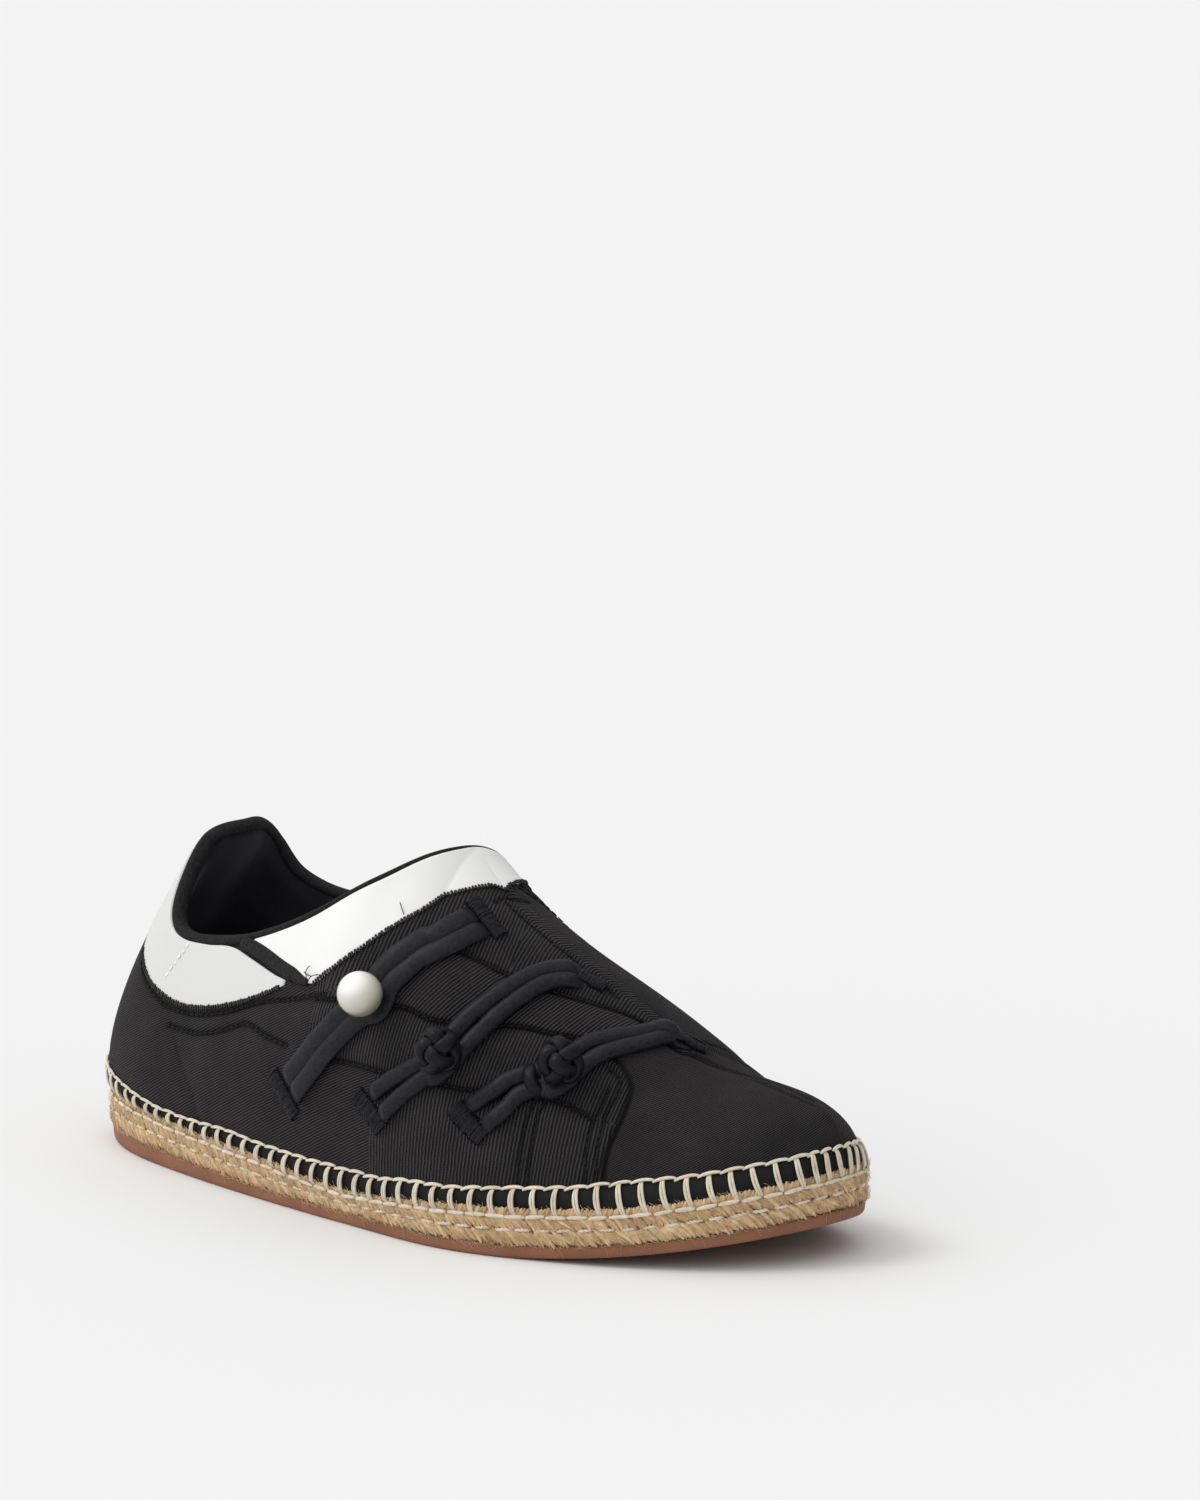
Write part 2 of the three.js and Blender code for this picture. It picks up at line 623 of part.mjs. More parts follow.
// The dense satin stitch over a cord's ends: a small pad that follows the surface.
function barGeometry([from, to]) {
  const ends = [place(...from, 0), place(...to, 0)];
  const along = ends[1].clone().sub(ends[0]);
  const middle = [mix(from[0], to[0], 0.5), mix(from[1], to[1], 0.5)];
  const out = normal(...middle);
  const side = along.clone().cross(out).normalize();
  const steps = 4;
  const sections = evenly(0, 1, steps).map((k) => {
    const [v, t] = [mix(from[0], to[0], k), mix(from[1], to[1], k)];
    const swell = k === 0 || k === 1 ? 0.6 : 1;
    const low = place(v, t, relief(v, t) + TRIM_GAP);
    const high = low.clone().addScaledVector(out, BAR_THICKNESS * swell);
    const half = BAR_WIDTH / 2;
    return [
      low.clone().addScaledVector(side, -half),
      low.clone().addScaledVector(side, half),
      high.clone().addScaledVector(side, 0.7 * half),
      high.clone().addScaledVector(side, -0.7 * half),
    ];
  });
  const faces = [sections[0], [...sections.at(-1)].reverse()];
  for (let i = 0; i < steps; i += 1) {
    for (let k = 0; k < 4; k += 1) {
      const n = (k + 1) % 4;
      faces.push([sections[i][n], sections[i][k], sections[i + 1][k], sections[i + 1][n]]);
    }
  }
  return closedGeometry(faces);
}

const COLOURS = {
  rubber: ["#7d5041", 0.75],
  jute: ["#cda97a", 0.95],
  sock: ["#1d1b1d", 0.95],
  knit: ["#232123", 0.9],
  smooth: ["#f0f0ee", 0.6],
  satin: ["#19181b", 0.45],
  pearl: ["#f2ece0", 0.25],
};

const shoe = new THREE.Group();

function add(name, geometry, finish) {
  const [color, roughness] = COLOURS[finish];
  const material = new THREE.MeshStandardMaterial({ color, roughness, metalness: 0 });
  const mesh = new THREE.Mesh(geometry, material);
  mesh.name = name;
  shoe.add(mesh);
  return mesh;
}

add("outsole", outsoleGeometry(), "rubber");
add("midsole", midsoleGeometry(), "jute");
add("insole", insoleGeometry(), "sock");
add("upper", upperGeometry(), "knit");
add("front_band", frontBandGeometry(), "smooth");
add("heel_panel", heelPanelGeometry(), "smooth");
add("collar_binding", bindingGeometry(), "knit");

FROGS.forEach((frog, i) => {
  const prefix = "frog_" + (i + 1);
  add(prefix + "_loop", loopGeometry(frog), "satin");
  add(prefix + "_tail", tailGeometry(frog), "satin");
  add(prefix + "_top_bar", barGeometry(frog.topBar), "satin");
  add(prefix + "_low_bar", barGeometry(frog.lowBar), "satin");
  const name = frog.pearl ? "pearl_button" : "knot_button_" + (i + 1);
  const ball = new THREE.SphereGeometry(buttonRadius(frog), 16, 10);
  const button = add(name, ball, frog.pearl ? "pearl" : "satin");
  button.position.copy(place(...frog.button, relief(...frog.button) + buttonLift(frog)));
});

// The part's origin is the middle of the whole shoe's box, on the floor.
const centre = new THREE.Box3().setFromObject(shoe).getCenter(new THREE.Vector3());
shoe.position.set(-centre.x, -centre.y, 0);

export default shoe;
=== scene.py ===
"""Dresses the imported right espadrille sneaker.

It has a ribbed knit upper, smooth collar panels, corded frogs, a jute platform and a rubber outsole.

Metres, +Z up, in the CAD model's frame: the toe points along +X and the outer side faces -Y. A place on
the upper is (v, t), as in the CAD source: v runs round the sole from the heel (0) by the outer side to the
toe (1) and back by the inner side (2); t climbs the wall from the sole (0) to the collar or, on the vamp,
to the ridge (1).
"""
import math

import bmesh
import bpy
import numpy as np
from mathutils import Matrix, Vector
from mathutils.kdtree import KDTree


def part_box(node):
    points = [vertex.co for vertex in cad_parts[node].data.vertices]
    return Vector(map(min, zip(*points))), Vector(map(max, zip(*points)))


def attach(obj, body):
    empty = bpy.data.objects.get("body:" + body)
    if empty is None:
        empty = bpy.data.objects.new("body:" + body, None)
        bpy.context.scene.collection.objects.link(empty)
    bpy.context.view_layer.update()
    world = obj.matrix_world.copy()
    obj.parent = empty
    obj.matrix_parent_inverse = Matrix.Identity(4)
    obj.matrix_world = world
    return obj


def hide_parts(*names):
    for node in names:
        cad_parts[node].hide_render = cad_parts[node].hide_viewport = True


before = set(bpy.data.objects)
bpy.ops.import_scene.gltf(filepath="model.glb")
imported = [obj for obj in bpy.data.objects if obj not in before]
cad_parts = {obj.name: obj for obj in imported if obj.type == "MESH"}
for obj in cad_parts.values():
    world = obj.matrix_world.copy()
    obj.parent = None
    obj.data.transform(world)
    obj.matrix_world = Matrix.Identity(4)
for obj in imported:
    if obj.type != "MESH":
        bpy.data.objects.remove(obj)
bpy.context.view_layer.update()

MM = 0.001

# Driving dimensions, as in the CAD source.
LENGTH = 285 * MM
BALL_WIDTH = 107 * MM
COLLAR_WIDTH = 72 * MM
INSTEP_HEIGHT = 108.5 * MM
TOE_SPRING = 12 * MM
ARCH_RISE = 1.5 * MM
SOLE_HEIGHT = 16.2 * MM
RUBBER_HEEL = 6 * MM
RUBBER_FRONT = 4 * MM
RUBBER_STEP = 0.7 * MM
BRAID_GROOVE = 1.4 * MM
UPPER_INSET = 3 * MM
TIP_INSET = 1.6 * MM
WALL = 2.2 * MM
COLLAR_PADDING = 2.6 * MM
FLAP_STEP = 0.9 * MM
TOE_STEP = 0.7 * MM
INSOLE_THICKNESS = 3 * MM
INSOLE_CLEARANCE = 1.8 * MM
BINDING_HEEL = 2.7 * MM
BINDING_FRONT = 1.2 * MM
CORD_DIAMETER = 4.5 * MM
KNOT_DIAMETER = 15.6 * MM
PEARL_DIAMETER = 13.8 * MM
KNOT_SHANK = 1.7 * MM
PEARL_SHANK = 3.6 * MM
GAP = 0.3 * MM

# The underside's toe spring and arch, as shares of the length.
SPRING_FROM = 0.7
SPRING_LENGTH = 0.3
SPRING_CURVE = 1.8
ARCH_FROM = 0.3
ARCH_LENGTH = 0.26

# What one whole t, and one whole station, measure at the seams.
WALL_RISE = 78 * MM
SIDE_RUN = 380 * MM

# Shares of the named sizes: station, outer side, inner side.
OUTLINE = [
    (0, 0.02, 0.02),
    (0.1, -0.18, 0.175),
    (0.2, -0.315, 0.28),
    (0.3, -0.4, 0.295),
    (0.4, -0.465, 0.27),
    (0.5, -0.515, 0.33),
    (0.6, -0.54, 0.44),
    (0.7, -0.435, 0.48),
    (0.8, -0.28, 0.41),
    (0.9, -0.09, 0.29),
    (1, 0.115, 0.115),
]

# The collar's edge: station, x, y outer, y inner, z outer, z inner.
RIM = [
    (0, 0.17, 0.01, 0.01, 0.958, 0.958),
    (0.07, 0.155, -0.18, 0.18, 0.922, 0.935),
    (0.13, 0.148, -0.305, 0.305, 0.78, 0.87),
    (0.2, 0.167, -0.39, 0.38, 0.685, 0.775),
    (0.28, 0.232, -0.445, 0.43, 0.67, 0.715),
    (0.36, 0.316, -0.485, 0.43, 0.72, 0.71),
    (0.43, 0.411, -0.5, 0.43, 0.82, 0.79),
    (0.485, 0.484, -0.42, 0.335, 0.93, 0.865),
    (0.52, 0.512, -0.21, 0.17, 0.985, 0.945),
    (0.55, 0.518, 0, 0, 0.985, 0.985),
]
THROAT = RIM[-1][0]

# The top of the vamp from the throat to the toe: station, x, y, z.
RIDGE = [
    (THROAT, 0.518, 0, 0.985),
    (0.6, 0.575, -0.02, 0.866),
    (0.7, 0.7, 0, 0.682),
    (0.8, 0.81, 0.04, 0.51),
    (0.9, 0.885, 0.09, 0.452),
    (1, 0.958, 0.12, 0.405),
]

# How each wall bends: station, arch outer, arch inner, bulge outer, bulge inner, lean.
SECTIONS = [
    (0, 2, 2, 0.037, 0.037, 1.6),
    (0.1, 2, 2, 0.037, 0.037, 1.6),
    (0.2, 2, 2, 0.037, 0.028, 1.7),
    (0.35, 1.9, 1.8, 0.028, 0.028, 1.8),
    (0.5, 1.8, 1.65, 0.019, 0.019, 2),
    (0.55, 1.75, 1.6, 0.009, 0.009, 2),
    (0.6, 1.5, 1.55, 0, 0, 2),
    (0.7, 1.25, 1.5, 0, 0, 2),
    (0.8, 1.4, 1.5, 0, 0, 2),
    (0.9, 1.95, 1.9, 0, 0, 2),
    (1, 2.25, 2.25, 0, 0, 2),
]
VAMP_FROM = 0.4
VAMP_TO = 0.6

# The wrap flap's lower and front edge on the outer side: station, t.
FLAP_EDGE = [
    (0, 0.58),
    (0.46, 0.58),
    (0.492, 0.506),
    (0.526, 0.444),
    (0.568, 0.431),
    (0.6, 0.48),
    (0.644, 0.561),
    (0.68, 0.6),
    (0.706, 0.64),
    (0.734, 0.745),
    (0.76, 0.9),
    (0.78, 1),
    (1, 1.1),
]
FLAP_FROM = 0.38
FLAP_FULL = 0.48
FLAP_INNER_END = 0.78

# The quarter's front edge over the toe piece: t, station outer side, station inner side.
TOE_EDGE = [
    (0, 0.732, 0.735),
    (0.322, 0.732, 0.737),
    (0.397, 0.738, 0.742),
    (0.494, 0.744, 0.748),
    (0.552, 0.745, 0.754),
    (0.6, 0.736, 0.758),
    (0.64, 0.715, 0.762),
    (0.7, 0.68, 0.768),
    (1, 0.66, 0.78),
]
SEAM_WIDTH = 0.008
SEAM_RAMP = 1.1 * MM

# The jute's upper edge above the sole's underside: station, height in millimetres. It dips at the waist.
JUTE_EDGE = [
    (0, 18.2),
    (0.1, 18),
    (0.18, 17.4),
    (0.26, 16.3),
    (0.34, 14.9),
    (0.42, 13.2),
    (0.46, 11.5),
    (0.5, 10.6),
    (0.54, 11.6),
    (0.58, 13.2),
    (0.62, 14.6),
    (0.66, 15),
    (0.75, 14.6),
    (0.85, 15.2),
    (1, 15.6),
]

# The blanket stitch's top line on the wall: station, t.
STITCH_LINE = [
    (0, 0.1),
    (0.144, 0.13),
    (0.18, 0.125),
    (0.22, 0.1),
    (0.26, 0.066),
    (0.3, 0.046),
    (0.38, 0.036),
    (0.42, 0.012),
    (0.46, 0.006),
    (0.54, 0.006),
    (0.58, 0.035),
    (0.62, 0.06),
    (0.66, 0.1),
    (0.7, 0.118),
    (0.75, 0.155),
    (0.8, 0.163),
    (0.85, 0.16),
    (0.9, 0.162),
    (1, 0.215),
]

# The smooth panel round the heel: v, lower t, upper t.
PANEL_TOP = 0.985
HEEL_PANEL = [
    (-0.32, 0.6, PANEL_TOP),
    (-0.2, 0.62, PANEL_TOP),
    (-0.1, 0.66, PANEL_TOP),
    (0.12, 0.7, PANEL_TOP),
    (0.18, 0.715, PANEL_TOP),
    (0.23, 0.685, PANEL_TOP),
    (0.28, 0.645, PANEL_TOP),
    (0.33, 0.645, 0.965),
    (0.37, 0.67, 0.87),
    (0.4, 0.695, 0.785),
    (0.42, 0.71, 0.73),
]

# The smooth band round the throat: station, lower t outer, lower t inner.
BAND_TIP = 0.592
BAND_INNER_END = 0.34
FRONT_BAND = [
    (0.36, 0.965, 0.64),
    (0.4, 0.84, 0.63),
    (0.43, 0.735, 0.63),
    (0.457, 0.645, 0.635),
    (0.48, 0.665, 0.64),
    (0.51, 0.68, 0.655),
    (0.536, 0.705, 0.69),
    (0.56, 0.78, 0.765),
    (0.58, 0.9, 0.88),
    (BAND_TIP, 1, 1),
]

# The frogs: cord points are (v, t) on the outer side; t past 1 is over the ridge, on the inner side.
FROGS = [
    {
        "button": (0.522, 0.456),
        "pearl": True,
        "turn": (4.2, 3.0),
        "loop": [(0.527, 0.515), (0.54, 0.553), (0.559, 0.603), (0.574, 0.672), (0.591, 0.775)],
        "loop_half": (2.9, 2.9),
        "tail": [(0.503, 0.445), (0.48, 0.388), (0.464, 0.325), (0.444, 0.245)],
        "tail_half": (2.5, 3.1),
        "top_bar": [(0.574, 0.79), (0.608, 0.765)],
        "low_bar": [(0.428, 0.33), (0.456, 0.163)],
        "bar_width": (5.4, 5.6),
    },
    {
        "button": (0.59, 0.377),
        "pearl": False,
        "turn": (7.0, 2.9),
        "loop": [(0.604, 0.47), (0.618, 0.548), (0.635, 0.64), (0.655, 0.74), (0.689, 0.862)],
        "loop_half": (2.9, 2.1),
        "tail": [(0.576, 0.325), (0.558, 0.26), (0.546, 0.222), (0.53, 0.18)],
        "tail_half": (2.2, 4.3),
        "top_bar": [(0.664, 0.815), (0.705, 0.88)],
        "low_bar": [(0.516, 0.218), (0.542, 0.14)],
        "bar_width": (4.4, 6.2),
    },
    {
        "button": (0.686, 0.49),
        "pearl": False,
        "turn": (7.0, 2.9),
        "loop": [(0.702, 0.577), (0.723, 0.66), (0.748, 0.765), (0.769, 0.93), (0.783, 1.12)],
        "loop_half": (2.9, 1.1),
        "tail": [(0.672, 0.46), (0.65, 0.405), (0.638, 0.35), (0.616, 0.262)],
        "tail_half": (2.2, 4.3),
        "top_bar": [(0.78, 1.1), (0.79, 1.16)],
        "low_bar": [(0.604, 0.282), (0.63, 0.24)],
        "bar_width": (2.6, 6.2),
        "wrap": True,
    },
]


def smooth(a, b, x):
    """Eases from 0 at a to 1 at b."""
    k = np.clip((np.asarray(x, float) - a) / (b - a), 0, 1)
    return k * k * (3 - 2 * k)


def mix(a, b, k):
    return a + (b - a) * k


def through(rows, x, column=1):
    """A smooth curve through a table's rows, read at x: the first column is where, and column says what."""
    table = np.asarray(rows, float)
    at, value = table[:, 0], table[:, column]
    tangent = np.gradient(value, at)
    x = np.clip(x, at[0], at[-1])
    k = np.clip(np.searchsorted(at, x) - 1, 0, len(at) - 2)
    step = at[k + 1] - at[k]
    s = (x - at[k]) / step
    return (
        (2 * s**3 - 3 * s**2 + 1) * value[k]
        + (s**3 - 2 * s**2 + s) * step * tangent[k]
        + (3 * s**2 - 2 * s**3) * value[k + 1]
        + (s**3 - s**2) * step * tangent[k + 1]
    )


def all_round(table, outer, inner):
    """A table's outer column followed by its inner column the other way, carried on past both ends."""
    last = table[-1][0]
    loop = [(row[0], row[outer]) for row in table]
    loop += [(2 * last - row[0], row[inner]) for row in table[-2:0:-1]]
    before = [(at - 2 * last, value) for at, value in loop[-3:]]
    after = [(at + 2 * last, value) for at, value in loop[:4]]
    return before + loop + after


OUTLINE_Y = all_round(OUTLINE, 1, 2)
RIM_X = all_round(RIM, 1, 1)
RIM_Y = all_round(RIM, 2, 3)
RIM_Z = all_round(RIM, 4, 5)


def wrapped(v):
    return np.mod(v, 2)


def station_of(v):
    w = wrapped(v)
    return np.where(w > 1, 2 - w, w)


def drawn_outline(v):
    """The sole's outline with the heel at x = 0, before it is put in the CAD model's frame."""
    w = wrapped(np.asarray(v, float))
    x = LENGTH * (1 - np.cos(np.pi * w)) / 2
    return np.stack([x, BALL_WIDTH * through(OUTLINE_Y, w)], -1)


def outwards(v):
    """The level way out of the sole at v."""
    reach = 0.004
    step = drawn_outline(np.asarray(v) + reach) - drawn_outline(np.asarray(v) - reach)
    side = np.stack([step[..., 1], -step[..., 0]], -1)
    return side / np.linalg.norm(side, axis=-1, keepdims=True)


MIDSOLE_LOW, MIDSOLE_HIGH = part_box("midsole")
DRAWN_Y = drawn_outline(np.linspace(0, 2, 721))[:, 1]
ORIGIN = np.array(
    [
        MIDSOLE_LOW.x,
        (MIDSOLE_LOW.y + MIDSOLE_HIGH.y - DRAWN_Y.min() - DRAWN_Y.max()) / 2,
        0,
    ]
)


def outline(v, inset=0.0):
    return drawn_outline(v) - np.asarray(inset)[..., None] * outwards(v)


def underside(x, y):
    """Height of the sole's underside: flat at heel and forefoot, raised at the inner arch and the toe."""
    share = x / LENGTH
    spring = TOE_SPRING * np.clip((share - SPRING_FROM) / SPRING_LENGTH, 0, 1) ** SPRING_CURVE
    along = np.sin(np.pi * np.clip((share - ARCH_FROM) / ARCH_LENGTH, 0, 1)) ** 2
    return spring + ARCH_RISE * along * smooth(-0.05, 0.25, y / BALL_WIDTH)


def rubber_thickness(x):
    return mix(RUBBER_HEEL, RUBBER_FRONT, smooth(0.12, 0.4, x / LENGTH))


def jute_top(x, y):
    return underside(x, y) + SOLE_HEIGHT


def feather(v):
    """The upper's lowest edge, on the jute."""
    xy = outline(v, mix(UPPER_INSET, TIP_INSET, smooth(0.85, 1, station_of(v))))
    return np.concatenate([xy, (jute_top(xy[..., 0], xy[..., 1]) + GAP)[..., None]], -1)


def topline(v):
    """The collar's edge and, from the throat forward, the ridge."""
    station = station_of(v)
    behind = np.minimum(station, THROAT)
    w = np.where(wrapped(v) > 1, 2 * THROAT - behind, behind)
    collar = np.stack(
        [LENGTH * through(RIM_X, w), COLLAR_WIDTH * through(RIM_Y, w), INSTEP_HEIGHT * through(RIM_Z, w)], -1
    )
    ridge = np.stack(
        [
            LENGTH * through(RIDGE, station, 1),
            BALL_WIDTH * through(RIDGE, station, 2),
            INSTEP_HEIGHT * through(RIDGE, station, 3),
        ],
        -1,
    )
    return np.where((station < THROAT)[..., None], collar, ridge)


def surface(v, t):
    """The upper's outer surface before any step in it, with the heel at x = 0."""
    v, t = np.broadcast_arrays(np.asarray(v, float), np.asarray(t, float))
    station = station_of(v)
    outer = wrapped(v) <= 1
    foot, top = feather(v), topline(v)
    arch = np.where(outer, through(SECTIONS, station, 1), through(SECTIONS, station, 2))
    bulge = BALL_WIDTH * np.where(outer, through(SECTIONS, station, 3), through(SECTIONS, station, 4))
    lean = through(SECTIONS, station, 5)
    vamp = smooth(VAMP_FROM, VAMP_TO, station)
    height = mix(t, np.sin(np.pi * t / 2) ** (2 / arch), vamp)
    inwards = mix(t**lean, 1 - np.maximum(0, np.cos(np.pi * t / 2)) ** (2 / arch), vamp)
    out = bulge * np.sin(np.pi * t**0.6) * (1 - 0.35 * t)
    xy = mix(foot[..., :2], top[..., :2], inwards[..., None]) + outwards(v) * out[..., None]
    return np.concatenate([xy, mix(foot[..., 2], top[..., 2], height)[..., None]], -1)


def unit(vectors):
    return vectors / np.maximum(np.linalg.norm(vectors, axis=-1, keepdims=True), 1e-12)


def side_normal(v, t):
    h = np.clip(t, 0.03, mix(0.975, 0.9, smooth(0.88, 1, station_of(v))))
    along = surface(v + 0.012, h) - surface(v - 0.012, h)
    up = surface(v, h + 0.025) - surface(v, h - 0.025)
    return unit(np.cross(along, up))


def over_ridge(v, t):
    """The same place with t up to 1: past it, the place lies on the other side."""
    v, t = np.broadcast_arrays(np.asarray(v, float), np.asarray(t, float))
    over = t > 1
    return np.where(over, 2 - wrapped(v), v), np.where(over, 2 - t, t)


def normal(v, t):
    """The outward normal, level at the sole and shared by the two sides on the ridge."""
    v, t = over_ridge(v, t)
    share = 0.5 * smooth(THROAT - 0.05, THROAT - 0.001, station_of(v)) * smooth(0.9, 1, t)
    out = mix(side_normal(v, t), side_normal(2 - wrapped(v), t), share[..., None])
    out[..., 2] *= smooth(0, 0.08, t)
    return unit(out)


def place(v, t, off=0.0):
    """Points on the upper in the CAD model's frame, at a distance off its surface."""
    v, t = over_ridge(v, t)
    off = np.broadcast_to(np.asarray(off, float), v.shape)
    return surface(v, t) + normal(v, t) * off[..., None] + ORIGIN


def side_relief(v, t):
    """The steps in the wall on v's own side: quarter over toe piece, and flap over quarter."""
    station = station_of(v)
    outer = wrapped(v) <= 1
    edge = through(FLAP_EDGE, station)
    flap_outer = smooth(-SEAM_RAMP / 2, SEAM_RAMP / 2, (t - edge) * WALL_RISE)
    flap_inner = smooth(0.4, 0.8, t) * smooth(-0.006, 0.006, FLAP_INNER_END - station)
    toe = np.where(outer, through(TOE_EDGE, t, 1), through(TOE_EDGE, t, 2))
    quarter = smooth(-SEAM_RAMP / 2, SEAM_RAMP / 2, (toe - station) * SIDE_RUN)
    on_flap = np.where(outer, flap_outer, flap_inner)
    along = smooth(FLAP_FROM, FLAP_FULL, station)
    return TOE_STEP * np.maximum(quarter, on_flap) + FLAP_STEP * on_flap * along


def relief(v, t):
    """The steps in the wall, the same on both sides where they meet on the ridge."""
    v, t = over_ridge(v, t)
    share = 0.5 * smooth(THROAT - 0.05, THROAT - 0.001, station_of(v)) * smooth(0.94, 1, t)
    return mix(side_relief(v, t), side_relief(2 - wrapped(v), t), share)


PAD_ARCH = 1.3 * MM
PAD_ARCH_AT = 0.66
PAD_ARCH_HALF = 0.07


def padding(v, t):
    """How thick the collar's padding is behind the lining, with a soft arch below it round the heel."""
    heel = 1 - smooth(0.2, 0.34, station_of(v))
    arch = PAD_ARCH * np.exp(-(((t - PAD_ARCH_AT) / PAD_ARCH_HALF) ** 2))
    return heel * (COLLAR_PADDING * smooth(0.5, 0.88, t) * (1 - 0.7 * smooth(0.93, 1, t)) + arch)


def new_mesh(name, vertices, faces, uv=None, smooth_shading=True):
    """A mesh object from points and faces, with one UV pair for each face corner where uv is given."""
    mesh = bpy.data.meshes.new(name)
    mesh.from_pydata([tuple(p) for p in vertices], [], [tuple(map(int, f)) for f in faces])
    if uv is not None:
        layer = mesh.uv_layers.new(name="surface")
        layer.data.foreach_set("uv", np.asarray(uv, np.float32).ravel())
    mesh.polygons.foreach_set("use_smooth", [smooth_shading] * len(mesh.polygons))
    mesh.update()
    obj = bpy.data.objects.new(name, mesh)
    bpy.context.scene.collection.objects.link(obj)
    return obj


def finish_piece(obj, material, slot_name, *nodes):
    """Gives a piece its finish and its body, and hides the CAD nodes that it stands for."""
    if material is not None:
        obj.data.materials.clear()
        obj.data.materials.append(material)
    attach(obj, "root")
    if nodes:
        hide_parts(*nodes)
    return obj


def grid_faces(columns, rows, closed=False, start=0):
    """Quads of a grid stored column by column; closed joins the last column to the first."""
    count = columns if closed else columns - 1
    i, k = np.meshgrid(np.arange(count), np.arange(rows - 1), indexing="ij")
    j = (i + 1) % columns
    quads = np.stack([i * rows + k, j * rows + k, j * rows + k + 1, i * rows + k + 1], -1)
    return quads.reshape(-1, 4) + start


def welded(obj, distance=0.02 * MM):
    """Merges the points that coincide and drops the faces that this leaves without area."""
    shape = bmesh.new()
    shape.from_mesh(obj.data)
    bmesh.ops.remove_doubles(shape, verts=shape.verts, dist=distance)
    bmesh.ops.dissolve_degenerate(shape, edges=shape.edges, dist=distance / 4)
    shape.to_mesh(obj.data)
    shape.free()
    obj.data.update()
    return obj


def skin(name, v, rows, outer, inner, closed, inner_rows=None):
    """A closed skin on the upper. v is one value for each column, rows a grid of t for its outer face.

    outer and inner give the distance of the two faces off the surface. inner_rows is the grid of the inner
    face where it differs.
    """
    inner_rows = rows if inner_rows is None else inner_rows
    columns, n, m = len(v), rows.shape[1], inner_rows.shape[1]
    wide_v = np.repeat(v[:, None], n, 1)
    inner_v = np.repeat(v[:, None], m, 1)
    out = place(wide_v, rows, outer(wide_v, rows)).reshape(-1, 3)
    within = place(inner_v, inner_rows, inner(inner_v, inner_rows)).reshape(-1, 3)
    base = len(out)
    faces = [grid_faces(columns, n, closed), grid_faces(columns, m, closed, base)[:, ::-1]]
    i = np.arange(columns if closed else columns - 1)
    j = (i + 1) % columns
    faces.append(np.stack([base + i * m, base + j * m, j * n, i * n], -1))
    station = station_of(v)
    open_top = (np.minimum(station[i], station[j]) < THROAT - 1e-9) | (rows[i, -1] < 1) | (rows[j, -1] < 1)
    i, j = i[open_top], j[open_top]
    faces.append(np.stack([i * n + n - 1, j * n + n - 1, base + j * m + m - 1, base + i * m + m - 1], -1))
    faces = [tuple(face) for part in faces for face in part]
    if not closed:
        last_out, last_in = (columns - 1) * n, base + (columns - 1) * m
        faces.append((*range(n), *reversed(range(base, base + m))))
        faces.append((*range(last_in, last_in + m), *reversed(range(last_out, last_out + n))))
    return welded(new_mesh(name, np.concatenate([out, within]), faces))


def stations_between(start, end, count):
    return np.linspace(start, end, count + 1)


def both_sides(stations):
    """v all round the shoe from stations that run from heel to toe."""
    return np.concatenate([stations, 2 - stations[-2:0:-1]])


def spread(low, high, count):
    """count + 1 rows from low to high in each column."""
    share = np.linspace(0, 1, count + 1)
    return low[:, None] + (high - low)[:, None] * share[None, :]


def layered(name, rings, low_height, high_height, steps=14):
    """Rings of equal count joined one above the other and closed by strips across the shoe."""
    count = len(rings[0])
    points = [np.concatenate(rings)]
    faces = []
    i = np.arange(count)
    j = (i + 1) % count
    for k in range(len(rings) - 1):
        faces.append(np.stack([k * count + i, k * count + j, (k + 1) * count + j, (k + 1) * count + i], -1))
    start = len(points[0])
    for ring, height, upwards in ((rings[0], low_height, False), (rings[-1], high_height, True)):
        half = np.arange(count // 2 + 1)
        share = np.linspace(0, 1, steps + 1)
        near, far = ring[half], ring[(count - half) % count]
        strip = mix(near[:, None], far[:, None], share[None, :, None])
        strip[:, 1:-1, 2] = height(strip[:, 1:-1, 0] - ORIGIN[0], strip[:, 1:-1, 1] - ORIGIN[1])
        points.append(strip.reshape(-1, 3))
        quads = grid_faces(len(half), steps + 1, False, start)
        faces.append(quads if upwards else quads[:, ::-1])
        start += strip.shape[0] * strip.shape[1]
    every = [tuple(face) for part in faces for face in part]
    return welded(new_mesh(name, np.concatenate(points), every))


def sole_ring(v, inset, height):
    """One ring round the sole, pulled in by inset, with its height worked out from each point's place."""
    xy = outline(v, inset)
    z = height(xy[..., 0], xy[..., 1])
    return np.concatenate([xy, z[..., None]], -1) + ORIGIN


